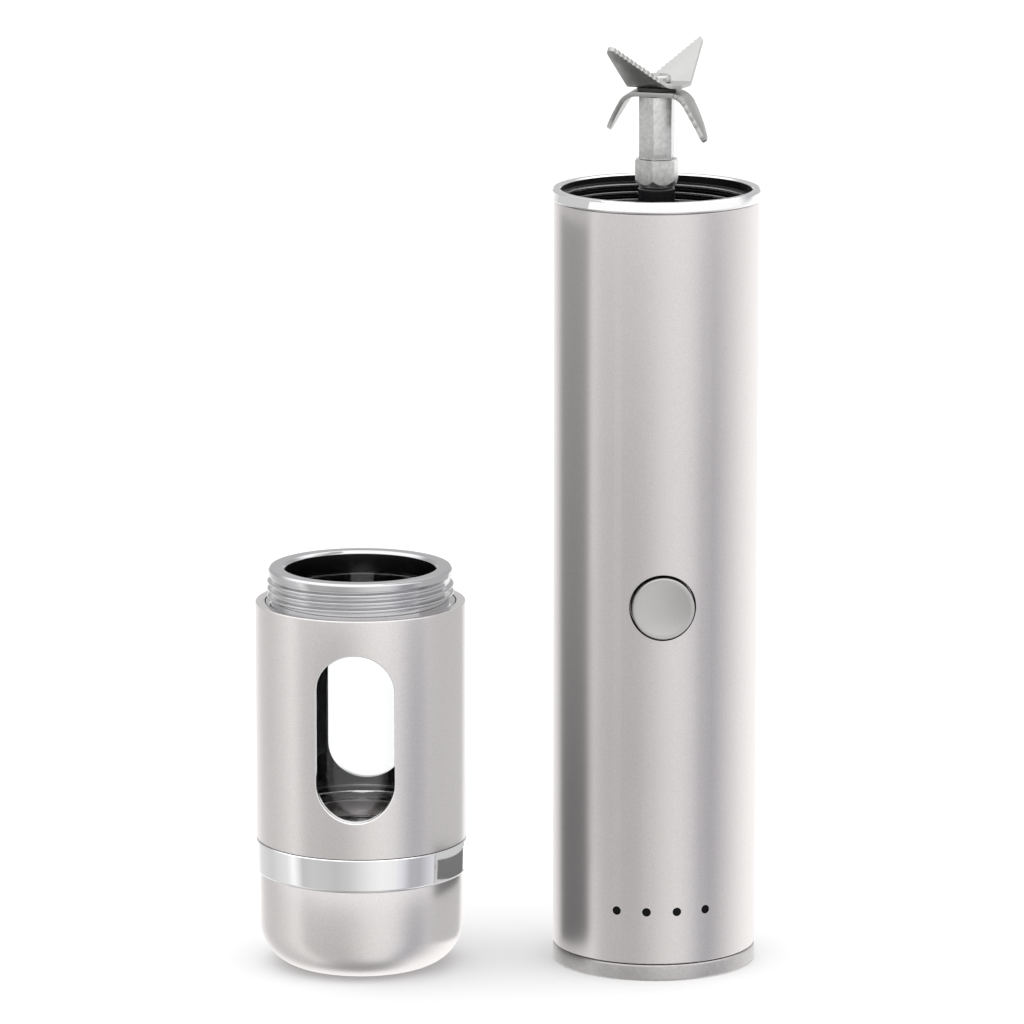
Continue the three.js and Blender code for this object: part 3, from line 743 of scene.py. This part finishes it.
def bevelled(mesh, width, steps, angle):
    """Rounds the edges that turn by more than an angle in degrees."""

    def prepare(scratch):
        bevel = scratch.modifiers.new("edge", "BEVEL")
        bevel.width = width
        bevel.segments = steps
        bevel.limit_method = "ANGLE"
        bevel.angle_limit = math.radians(angle)
        return []

    return evaluated(mesh, prepare)


def joined(*meshes):
    """Several meshes in one, each with its own material index in order."""
    bm = bmesh.new()
    for index, mesh in enumerate(meshes):
        before = len(bm.faces)
        bm.from_mesh(mesh)
        bm.faces.ensure_lookup_table()
        for face in bm.faces[before:]:
            face.material_index = index
    result = bpy.data.meshes.new("joined")
    bm.to_mesh(result)
    bm.free()
    return result


def painted(mesh, index, far, low, high):
    """Gives a material index to the faces that look inwards within a radius and a height range."""
    count = len(mesh.polygons)
    centres = np.zeros(count * 3)
    mesh.polygons.foreach_get("center", centres)
    normals = np.zeros(count * 3)
    mesh.polygons.foreach_get("normal", normals)
    centres, normals = centres.reshape(-1, 3), normals.reshape(-1, 3)
    inward = (centres[:, :2] * normals[:, :2]).sum(1) < 1e-4
    within = np.hypot(centres[:, 0], centres[:, 1]) < far
    level = (centres[:, 2] > low) & (centres[:, 2] < high)
    indices = np.zeros(count, np.int32)
    mesh.polygons.foreach_get("material_index", indices)
    indices[inward & within & level] = index
    mesh.polygons.foreach_set("material_index", indices)
    return mesh


def piece(node, mesh, body, slot, *materials, sharp=32, smooth_walls=()):
    """Places a finished shape for a CAD node. smooth_walls are zones where no edge is sharp: the
    lowest and highest z, the nearest and farthest distance from an upright axis, and its x."""
    made = bpy.data.objects.new(f"{node}_fine", mesh)
    scene.collection.objects.link(made)
    mesh.polygons.foreach_set("use_smooth", np.ones(len(mesh.polygons), bool))
    mesh.set_sharp_from_angle(angle=math.radians(sharp))
    if smooth_walls:
        spots = np.zeros(len(mesh.vertices) * 3)
        mesh.vertices.foreach_get("co", spots)
        spots = spots.reshape(-1, 3)
        ends = np.zeros(len(mesh.edges) * 2, int)
        mesh.edges.foreach_get("vertices", ends)
        ends = ends.reshape(-1, 2)
        hard = np.zeros(len(mesh.edges), bool)
        mesh.edges.foreach_get("use_edge_sharp", hard)
        for low, high, nearest, farthest, axis_x in smooth_walls:
            away = np.hypot(spots[:, 0] - axis_x, spots[:, 1])
            inside = (spots[:, 2] > low) & (spots[:, 2] < high) & (away > nearest) & (away < farthest)
            hard &= ~(inside[ends[:, 0]] & inside[ends[:, 1]])
        mesh.edges.foreach_set("use_edge_sharp", hard)
    mesh.transform(Matrix.Scale(MM, 4))
    for material in materials:
        mesh.materials.append(material)
    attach(made, body)
    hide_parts(node)


def hole_lip(path, outer, inner, edge, steps=5):
    """The finished edge of a hole along Y through a tube's front wall, with its outside rounded.
    path(grown) is the hole's outline, grown by that much."""
    loops = []
    for s in range(steps + 1):
        angle = math.pi / 2 * s / steps
        loops.append((edge * (1 - math.sin(angle)), outer - edge * (1 - math.cos(angle))))
    loops += [(0, inner), (edge, inner)]
    verts = []
    for grown, radius in loops:
        for x, z in path(grown):
            verts.append((x, -math.sqrt(radius * radius - x * x), z))
    return solid(verts, grid_faces(len(loops), len(path(0))))


def circle_path(radius, height, count=160):
    """A round hole."""

    def path(grown):
        return [(x, height + z) for x, z in ring_points(radius + grown, count)]

    return path


def slot_path(half, low, high, count=56):
    """An upright slot with round ends."""

    def path(grown):
        top = arc(0, high - half, half + grown, 0, math.pi, count)
        bottom = arc(0, low + half, half + grown, math.pi, 2 * math.pi, count)
        return top + bottom

    return path


def through_cutter(path, grown, low, high):
    """A prism along Y between two y values, with a hole's outline."""
    outline = path(grown)
    count = len(outline)
    verts = [(x, low, z) for x, z in outline] + [(x, high, z) for x, z in outline]
    sides = [(i, (i + 1) % count, (i + 1) % count + count, i + count) for i in range(count)]
    return solid(verts, [tuple(range(count)), tuple(range(count, 2 * count))[::-1], *sides])


# ---------------------------------------------------------------------------------------------
# Motor body: shell
# ---------------------------------------------------------------------------------------------
BUTTON_HEIGHT = 63.6
BUTTON_HOLE = 5.45
LIGHT_HEIGHT = 11.84
LIGHT_HOLE = 0.73
LIGHT_ANGLES = [-25.8, -8.6, 8.6, 25.8]
BASE_SCREW_X, BASE_SCREW_Y = 9, 7.5  # one on each side
MOTOR_SCREW_X = 8
SOCKET_Y = -10.05


def at_light(mesh, angle):
    """Places a shape made along Z at one of the lights, pointing outwards."""
    return spun(face_front(mesh, LIGHT_HEIGHT), angle)


def body_tube():
    shell = spin(
        rounded(
            [
                (BORE, 2.85, 0.1), (TUBE, 2.85, 0.3), (TUBE, 129.2, 0.2), (16.45, 129.2, 0.1),
                (16.45, 120.6, 0), (BORE, 120.6, 0),
            ]
        ),
        sides=ROUNDEST,
    )
    button = circle_path(BUTTON_HOLE, BUTTON_HEIGHT)
    edge = 0.1
    tools = [through_cutter(button, edge, -19, -10)]
    for angle in LIGHT_ANGLES:
        tools.append(at_light(drum(LIGHT_HOLE, 15, 18, SMALLEST), angle))
    # The button hole's lip takes the second material: painted shade on the hole's wall.
    return joined(cut(shell, *tools), hole_lip(button, TUBE, BORE, edge))


piece("body_tube", body_tube(), "housing", "satin_aluminium", satin, bore_painted_shade)


def rim_collar():
    wall = 15.85
    outline = rounded(
        [
            (13.3, 120.8, 0.1), (16.3, 120.8, 0.1), (16.3, 129.35, 0), (17.3, 129.35, 0.05),
            (17.6, 129.6, 0.1), (17.32, 130.85, 0.12), (17.05, 131.15, 0.1), (16.04, 131.15, 0.12),
            (wall, 130.9, 0),
        ]
    )
    outline += dense(wall, 130.85, 125.7)
    outline += [(15.3, 125.3), (15.3, 124.1), (13.3, 124.1)]
    collar = spin(outline, sides=ROUNDEST, ridge=thread(wall, -0.8, 126.5, 2.75, 0.95, 0.25))
    painted(collar, 1, 16.0, 120.9, 130.95)  # the whole inside: painted shade, near black
    return painted(collar, 2, 15.5, 125.7, 130.8)  # the thread's crests: a lighter painted shade


piece(
    "rim_collar",
    rim_collar(),
    "housing",
    "chrome_plate",
    chrome,
    bore_painted_shade,
    thread_crest_painted_shade,
    smooth_walls=[(125.75, 130.8, 14, 16.0, 0)],
)
piece(
    "neck_gasket",
    spin(rounded([(13.4, 124.15, 0.2), (15.2, 124.15, 0.2), (15.2, 125.2, 0.3), (13.4, 125.2, 0.3)])),
    "housing",
    "silicone",
    silicone,
)


def capsule(width, depth, count=24):
    """The charge socket's outline: a slot with round ends, wide along X."""
    radius = depth / 2
    reach = width / 2 - radius
    right = arc(reach, SOCKET_Y, radius, -math.pi / 2, math.pi / 2, count)
    left = [(-x, 2 * SOCKET_Y - y) for x, y in right]
    return right + left


def base_cap():
    cap = spin(
        rounded(
            [
                (0, 0.25, 0), (13.6, 0.25, 0.1), (13.9, 0, 0.15), (16.75, 0, 0.12),
                (TUBE, 0.25, 0.15), (TUBE, 2.75, 0.32), (PLUG, 2.75, 0), (PLUG, 6.4, 0.1),
                (14.65, 6.4, 0.1), (14.65, 2.75, 0), (0, 2.75, 0),
            ]
        )
    )
    tools = [prism(capsule(8.1, 3.3), -1, 4)]
    for side in (-1, 1):
        tools.append(moved(drum(1.2, -1, 4, SMALLEST), side * BASE_SCREW_X, BASE_SCREW_Y))
        flare = spin([(0, -1), (2.4, -1), (2.4, 0.25), (2.1, 0.5), (2.1, 1.5), (0, 1.5)], 48)
        tools.append(moved(flare, side * BASE_SCREW_X, BASE_SCREW_Y))
    return cut(cap, *tools)


piece("base_cap", base_cap(), "housing", "satin_aluminium", satin_base)


def cross_screw(head, shank, height, length, recess):
    """A pan-head screw along Z with its head's top at 0 and a cross recess."""
    shape = spin(
        rounded(
            [
                (0, -height - length, 0), (shank, -height - length, 0.1), (shank, -height, 0),
                (head, -height, 0.1), (head, 0, height * 0.55), (0, 0, 0),
            ],
            steps=6,
        ),
        64,
    )
    slot, depth = 0.28, 0.55  # half the width of a bar of the cross, and how deep it goes
    bar = box((-recess, -slot, -depth), (recess, slot, 1))
    crossbar = box((-slot, -recess, -depth), (slot, recess, 1))
    return cut(shape, bar, crossbar)


for side_name, side in (("left", -1), ("right", 1)):
    screw = spun(cross_screw(1.85, 0.95, 1.1, 6.5, 1.05), 180, "X")
    screw = moved(screw, side * BASE_SCREW_X, BASE_SCREW_Y, 0.3)
    piece(f"base_screw_{side_name}", screw, "housing", "steel", steel)
    screw = moved(cross_screw(2.1, 1.05, 1.0, 4.2, 1.2), side * MOTOR_SCREW_X, 0, 119.3)
    piece(f"motor_screw_{side_name}", screw, "housing", "steel", steel)


def charge_socket():
    shell = prism(capsule(7.5, 2.6), 0.7, 6.2)
    hollow = prism(capsule(6.9, 2.0), 0, 5.6)
    tongue = box((-2.3, SOCKET_Y - 0.2, 1.6), (2.3, SOCKET_Y + 0.2, 5.7))
    return joined(cut(shell, hollow), tongue)


piece("charge_socket", charge_socket(), "housing", "steel", steel, black_plastic)


def blade_well():
    well = spin(
        rounded(
            [
                (3.2, 116.6, 0), (PLUG, 116.6, 0.1), (PLUG, 120.4, 0.1), (13.15, 120.4, 0),
                (13.15, 123.6, 0.3), (11.9, 123.6, 0.4), (11.9, 120.4, 0.6), (10.9, 119.4, 0.6),
                (5, 119.4, 0.5), (4.6, 121.6, 0.3), (3.2, 121.6, 0.15),
            ]
        )
    )
    tools = []
    for side in (-1, 1):
        tools.append(moved(drum(1.4, 110, 120, SMALLEST), side * MOTOR_SCREW_X))
        tools.append(moved(drum(2.4, 118.2, 120, 48), side * MOTOR_SCREW_X))
    return cut(well, *tools)


piece("blade_well", blade_well(), "housing", "black_plastic", gloss_black)
piece(
    "spindle_bush",
    spin(
        rounded(
            [
                (1.35, 116.7, 0), (3.05, 116.7, 0.1), (3.05, 121.7, 0), (4.4, 121.7, 0.12),
                (4.4, 122.5, 0.25), (3.05, 122.5, 0.15), (3.05, 131.0, 0.2), (2.8, 131.3, 0.15),
                (1.35, 131.3, 0.1),
            ]
        ),
        128,
    ),
    "housing",
    "black_plastic",
    gloss_black,
)


def button_cap():
    outline = rounded(
        [
            (0, 12.95, 0), (6.1, 12.95, 0.1), (6.1, 13.65, 0.1), (5.15, 13.65, 0),
            (5.15, 17.65, 0.05), (5.03, 17.87, 0.12), (4.85, 17.89, 0.05),
        ]
    )
    # The dish: a shallow bowl from the rim to the middle.
    dish, depth, floor, steps = 4.6, 0.44, 17.44, 24
    for i in range(steps + 1):
        outline.append((dish - dish * i / steps, floor + depth * (1 - i / steps) ** 2))
    return face_front(spin(outline, 192), BUTTON_HEIGHT)


piece("button_cap", button_cap(), "button", "button_metal", satin_button)
for i, angle in enumerate(LIGHT_ANGLES):
    outline = rounded([(0, 11.8, 0), (0.6, 11.8, 0), (0.6, 16.85, 0.12), (0, 16.85, 0)], steps=6)
    lens = spin(outline, SMALLEST)
    piece(f"light_pipe_{i + 1}", at_light(lens, angle), "housing", "smoked_lens", smoked)

# ---------------------------------------------------------------------------------------------
# Rotor: spindle and blades
# ---------------------------------------------------------------------------------------------
SPINDLE_ANGLE = 15.6


def hex_outline(corner, angle):
    """A hexagon with its corners at a distance, the first of them at an angle in degrees."""
    angles = [math.radians(angle + 60 * k) for k in range(6)]
    return [(corner * math.cos(a), corner * math.sin(a)) for a in angles]


def spindle_nut():
    flats = prism(hex_outline(3.8, SPINDLE_ANGLE), 130, 137)
    body = spin(
        rounded(
            [
                (0, 131.55, 0), (3.05, 131.55, 0.1), (3.9, 132.8, 0), (3.9, 135.75, 0),
                (3.5, 136, 0.05), (0, 136, 0),
            ]
        ),
        SMALL,
    )
    body = combine(body, "INTERSECT", flats)
    body = cut(body, drum(1.3, 130, 133.6, 32), drum(SCREW_HOLE, 130, 140, 32))
    return bevelled(body, 0.06, 3, 25)


piece("spindle_nut", spindle_nut(), "rotor", "steel", mottled_steel, sharp=25)
bar = prism(hex_outline(3.15, SPINDLE_ANGLE), 136.05, 146.5)
bar = cut(bar, drum(SCREW_HOLE, 130, 160, 32))
piece("hex_spindle", bevelled(bar, 0.08, 3, 25), "rotor", "steel", mottled_steel, sharp=25)

SHEET = 0.75  # thickness of both blades
# Each blade's upper face, bend radius, bend angle, where the bend starts, the turn about the
# spindle, and whether its ends go up or down.
LOWER = {"top": 147.35, "radius": 3.6, "bend": 57, "start": 2.73, "turn": -16.1, "up": -1}
UPPER = {"top": 148.75, "radius": 0.9, "bend": 44, "start": 2.0, "turn": -22.1 + 90, "up": 1}


def bent(shape, along, across, side):
    """A point of the bent sheet: along and across its flat pattern, on its upper or lower side."""
    reach = abs(along) - shape["start"]
    bend = math.radians(shape["bend"])
    angle = min(max(reach / shape["radius"], 0), bend)
    rest = max(reach - shape["radius"] * bend, 0)
    if reach < 0:
        out, rise = abs(along), 0
    else:
        out = shape["start"] + shape["radius"] * math.sin(angle) + rest * math.cos(angle)
        rise = shape["radius"] * (1 - math.cos(angle)) + rest * math.sin(angle)
    out -= shape["up"] * side * SHEET / 2 * math.sin(angle)
    height = shape["top"] - SHEET / 2 + shape["up"] * rise + side * SHEET / 2 * math.cos(angle)
    return (math.copysign(out, along), across, height)


def unrolled(shape, x):
    """Where a plan distance from the blade's middle lies on its flat pattern."""
    bend = math.radians(shape["bend"])
    reach = abs(x) - shape["start"]
    curved = shape["radius"] * math.sin(bend)
    if reach > curved:
        reach = shape["radius"] * bend + (reach - curved) / math.cos(bend)
    elif reach > 0:
        reach = shape["radius"] * math.asin(reach / shape["radius"])
    return math.copysign(shape["start"] + reach, x)


def teeth(start, end, pitch=0.8, depth=0.14):
    """Saw teeth along a straight edge: each rises slowly and drops back fast."""
    start, end = np.array(start, float), np.array(end, float)
    length = np.linalg.norm(end - start)
    along = (end - start) / length
    inward = np.array([-along[1], along[0]])
    count = round(length / pitch)
    points = []
    for i in range(count):
        for share, back in ((0.06, depth), (0.2, depth), (0.46, 0), (0.78, 0)):
            points.append(tuple(start + along * length * (i + share) / count + inward * back))
    return points


OUTLINE_STEP = 0.4
BEND_STEPS = 14


def blade(shape, half, other_half):
    """A sheet blade, cut flat with square toothed edges, then bent. Its halves are outlines seen
    from above, and the other one is turned half way round."""
    corners = [*half, *[(-x, -y) for x, y in other_half]]
    outline = []
    for (x0, y0), (x1, y1) in zip(corners, corners[1:] + corners[:1]):
        steps = max(1, round(math.hypot(x1 - x0, y1 - y0) / OUTLINE_STEP))
        for i in range(steps):
            outline.append((unrolled(shape, x0 + (x1 - x0) * i / steps), y0 + (y1 - y0) * i / steps))
    flat = cut(prism(outline, -1, 1), drum(SCREW_HOLE, -2, 2, SMALLEST))
    bm = bmesh.new()
    bm.from_mesh(flat)
    curved = shape["radius"] * math.radians(shape["bend"])
    for side in (-1, 1):
        for i in range(BEND_STEPS + 1):
            where = side * (shape["start"] + curved * i / BEND_STEPS)
            parts = [*bm.verts, *bm.edges, *bm.faces]
            bmesh.ops.bisect_plane(bm, geom=parts, dist=1e-5, plane_co=(where, 0, 0), plane_no=(1, 0, 0))
    for vert in bm.verts:
        vert.co = bent(shape, *vert.co)
    bm.to_mesh(flat)
    bm.free()
    return spun(bevelled(flat, 0.045, 2, 50), shape["turn"])


# Half outlines of the blades, seen from above, with teeth on their cutting edges
lower_half = [
    (-2.4, -2.95), (2.6, -3.5),
    *teeth((3.2, -3.76), (8.5, -6.05)),
    (8.75, -6.35), (9.14, -6.24), (9.3, -5.6), (9.05, -4.1), (8.6, -2.9), (8.0, -1.45), (7.3, -0.2),
    (6.5, 0.95), (5.6, 1.9), (4.8, 2.4), (4, 2.7),
]
upper_toothed = [*teeth((4.2, 9.1), (-1.8, 3.2)), (-2.9, 2.25)]
upper_half = [
    (5.1, 2.2), (5.1, 8.8), (5.0, 9.15), (4.75, 9.35), (4.35, 9.3),
    *upper_toothed,
    (-4.1, 1.75),
]
upper_other_half = [
    (4.32, 2.2), (5.75, 8.5), (5.75, 8.95), (5.6, 9.25), (5.1, 9.45), (4.35, 9.3),
    *upper_toothed,
    (-4.8, 1.75),
]


def quarter(points):
    """An outline drawn along Y, turned to lie along X."""
    return [(y, -x) for x, y in points]


lower = blade(LOWER, lower_half, lower_half)
piece("lower_blade", lower, "rotor", "blade_steel", blade_steel, sharp=28)
upper = blade(UPPER, quarter(upper_half), quarter(upper_other_half))
piece("upper_blade", upper, "rotor", "blade_steel", blade_steel, sharp=28)
piece(
    "blade_washer",
    spin(
        rounded(
            [
                (SCREW_HOLE, 147.43, 0.05), (3.3, 147.43, 0.15), (3.3, 147.92, 0.15),
                (SCREW_HOLE, 147.92, 0.05),
            ]
        ),
        SMALL,
    ),
    "rotor",
    "rubber",
    rubber,
)


def blade_screw():
    head_low, head_top = 148.83, 149.98
    shape = spin(
        rounded(
            [
                (0, 140.5, 0), (1.1, 140.5, 0.15), (1.1, head_low, 0), (2.3, head_low, 0.12),
                (2.3, head_top, 0.45), (0, head_top, 0),
            ],
            steps=6,
        ),
        SMALL,
    )
    return bevelled(cut(shape, prism(hex_outline(1.2, 0), head_top - 0.7, head_top + 1)), 0.05, 2, 50)


piece("blade_screw", blade_screw(), "rotor", "blade_steel", steel)

# ---------------------------------------------------------------------------------------------
# Jar
# ---------------------------------------------------------------------------------------------
JAR_X = -49.3
WINDOW_TURN = -5.6


def jar_piece(node, mesh, slot, *materials, body="chamber", walls=()):
    """A piece made about its own axis, placed where the jar stands."""
    zones = [(*wall, JAR_X) for wall in walls]
    piece(node, moved(mesh, JAR_X), body, slot, *materials, smooth_walls=zones)


def window_sleeve():
    shell = spin(
        rounded(
            [
                (BORE, 21.65, 0.08), (SLEEVE, 21.65, 0.15), (SLEEVE, 62.07, 0.22),
                (BORE, 62.07, 0.08),
            ]
        ),
        sides=ROUNDEST,
    )
    path = slot_path(6.5, 27.85, 56.14)
    edge = 0.22
    shell = cut(shell, through_cutter(path, edge, -20, 20))
    front = hole_lip(path, SLEEVE, BORE, edge)
    back = spun(hole_lip(path, SLEEVE, BORE, edge), 180)
    sleeve = spun(joined(shell, joined(front, back)), WINDOW_TURN)
    # Its inside takes painted shade, near black.
    return painted(sleeve, 2, 16.2, 21.7, 62.0)


jar_piece("window_sleeve", window_sleeve(), "satin_aluminium", satin_jar_painted_light, bright_edge, bore_painted_shade)


def threaded_neck():
    wall = 14.85
    outline = rounded(
        [
            (15.2, 59, 0), (14.2, 59, 0), (14.2, 57, 0.1), (PLUG, 57, 0.1),
            (PLUG, 62.0, 0.05), (wall, 62.0, 0),
        ]
    )[:-1]
    outline += dense(wall, 62.0, 66.4)
    outline += rounded(
        [
            (wall, 66.42, 0), (15.4, 66.62, 0.08), (15.4, 67.5, 0.3), (15.05, 67.8, 0.25),
            (12.95, 67.8, 0.25), (12.56, 67.35, 0.25), (12.56, 64.3, 0.1), (14.2, 64.3, 0),
            (14.2, 60.7, 0), (15.2, 60.7, 0),
        ]
    )[1:]
    neck = spin(outline, sides=ROUNDEST, ridge=thread(wall, 0.73, 62.35, 2.95, 0.95, 0.22))
    # Its bore takes painted shade, near black.
    return painted(neck, 1, 14.4, 57.1, 67.3)


jar_piece(
    "threaded_neck",
    threaded_neck(),
    "chrome_plate",
    neck_chrome_painted_shade,
    bore_painted_shade,
    walls=[(62.05, 66.4, 14.5, 15.8)],
)
jar_piece(
    "glass_tube",
    spin(rounded([(12.3, 27.1, 0.35), (14, 27.1, 0.35), (14, 64.1, 0.35), (12.3, 64.1, 0.35)])),
    "clear_glass",
    glass,
)
for node, corners in {
    "upper_seal": [(14.1, 59.15, 0.3), (15.05, 59.15, 0.3), (15.05, 60.55, 0.3), (14.1, 60.55, 0.3)],
    "lower_seal": [(12.5, 26.48, 0.12), (14.3, 26.48, 0.12), (14.3, 27.02, 0.12), (12.5, 27.02, 0.12)],
}.items():
    jar_piece(node, spin(rounded(corners)), "rubber", rubber)
jar_piece(
    "cup_seal",
    spin(rounded([(12.7, 20.38, 0.15), (14.2, 20.38, 0.15), (14.2, 21, 0.15), (12.7, 21, 0.15)])),
    "rubber",
    rubber,
    body="seal_carrier",
)
jar_piece(
    "seat_ring",
    spin(rounded([(12.3, 22, 0.2), (14.7, 22, 0.1), (14.7, 26.4, 0.15), (12.3, 26.4, 0.3)])),
    "steel",
    chrome,
)


def chrome_band():
    wall = 15.2
    outline = [(13, 21.1), (wall, 21.1)]
    outline += dense(wall, 21.05, 16.3)
    outline += rounded(
        [
            (wall, 16.2, 0), (15.35, 16.04, 0), (17.35, 16.04, 0.1), (17.7, 16.4, 0.3),
            (17.7, 21.42, 0.1), (SLEEVE, 21.57, 0.08), (PLUG, 21.57, 0), (PLUG, 25.4, 0.1),
            (14.9, 25.4, 0.1), (14.9, 21.8, 0), (13, 21.8, 0.15),
        ]
    )[1:]
    return spin(outline, ridge=thread(wall, -0.65, 17.3, 1.5, 0.75, 0.2))


jar_piece("chrome_band", chrome_band(), "chrome_plate", chrome, walls=[(16.3, 21.0, 14, 15.4)])


def base_cup():
    wall = 14.3
    outline = [(0, 0.12), (8.5, 0.12), (8.8, 0.03), (9.2, 0)]
    outline += arc(10, 7, 7, -math.pi / 2, 0, 25)  # the outside's large round corner
    outline += [(17, 15.75), (16.94, 15.89), (16.8, 15.95), (wall, 15.95)]
    outline += dense(wall, 16.0, 20.1)
    outline += [(wall - 0.15, 20.3), (12.65, 20.3), (12.5, 20.15)]
    outline += arc(7, 8.5, 5.5, 0, -math.pi / 2, 17)  # the inside's
    outline.append((0, 3))
    return spin(outline, ridge=thread(wall, 0.65, 17.925, 1.25, 0.75, 0.2))


jar_piece(
    "base_cup",
    base_cup(),
    "satin_aluminium",
    satin_jar_painted_light,
    body="cup",
    walls=[(16.0, 20.2, 14.2, 15.1)],
)

# ---------------------------------------------------------------------------------------------
# CAD nodes that stay as they are
# ---------------------------------------------------------------------------------------------
KEPT = {
    "motor_can": steel,
    "motor_end_cap": white_plastic,
    "field_magnet_left": magnet,
    "field_magnet_right": magnet,
    "motor_bearing_top": bronze,
    "motor_bearing_bottom": bronze,
    "brush_left": carbon,
    "brush_right": carbon,
    "motor_terminal_left": drawn_steel,
    "motor_terminal_right": drawn_steel,
    "motor_shaft": steel,
    "armature_core": drawn_steel,
    "armature_winding": copper,
    "commutator": copper,
    "battery_carrier": black_plastic,
    "battery_cell": wrap,
    "positive_contact": steel,
    "negative_contact": steel,
    "control_board": circuit,
    "switch_body": black_plastic,
    "switch_plunger": white_plastic,
    "button_seal": rubber,
    "light_holder": black_plastic,
    "motor_lead_red": red_wire,
    "motor_lead_black": black_wire,
}
for name, material in KEPT.items():
    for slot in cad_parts[name].material_slots:
        slot.link = "DATA"
        slot.material = material
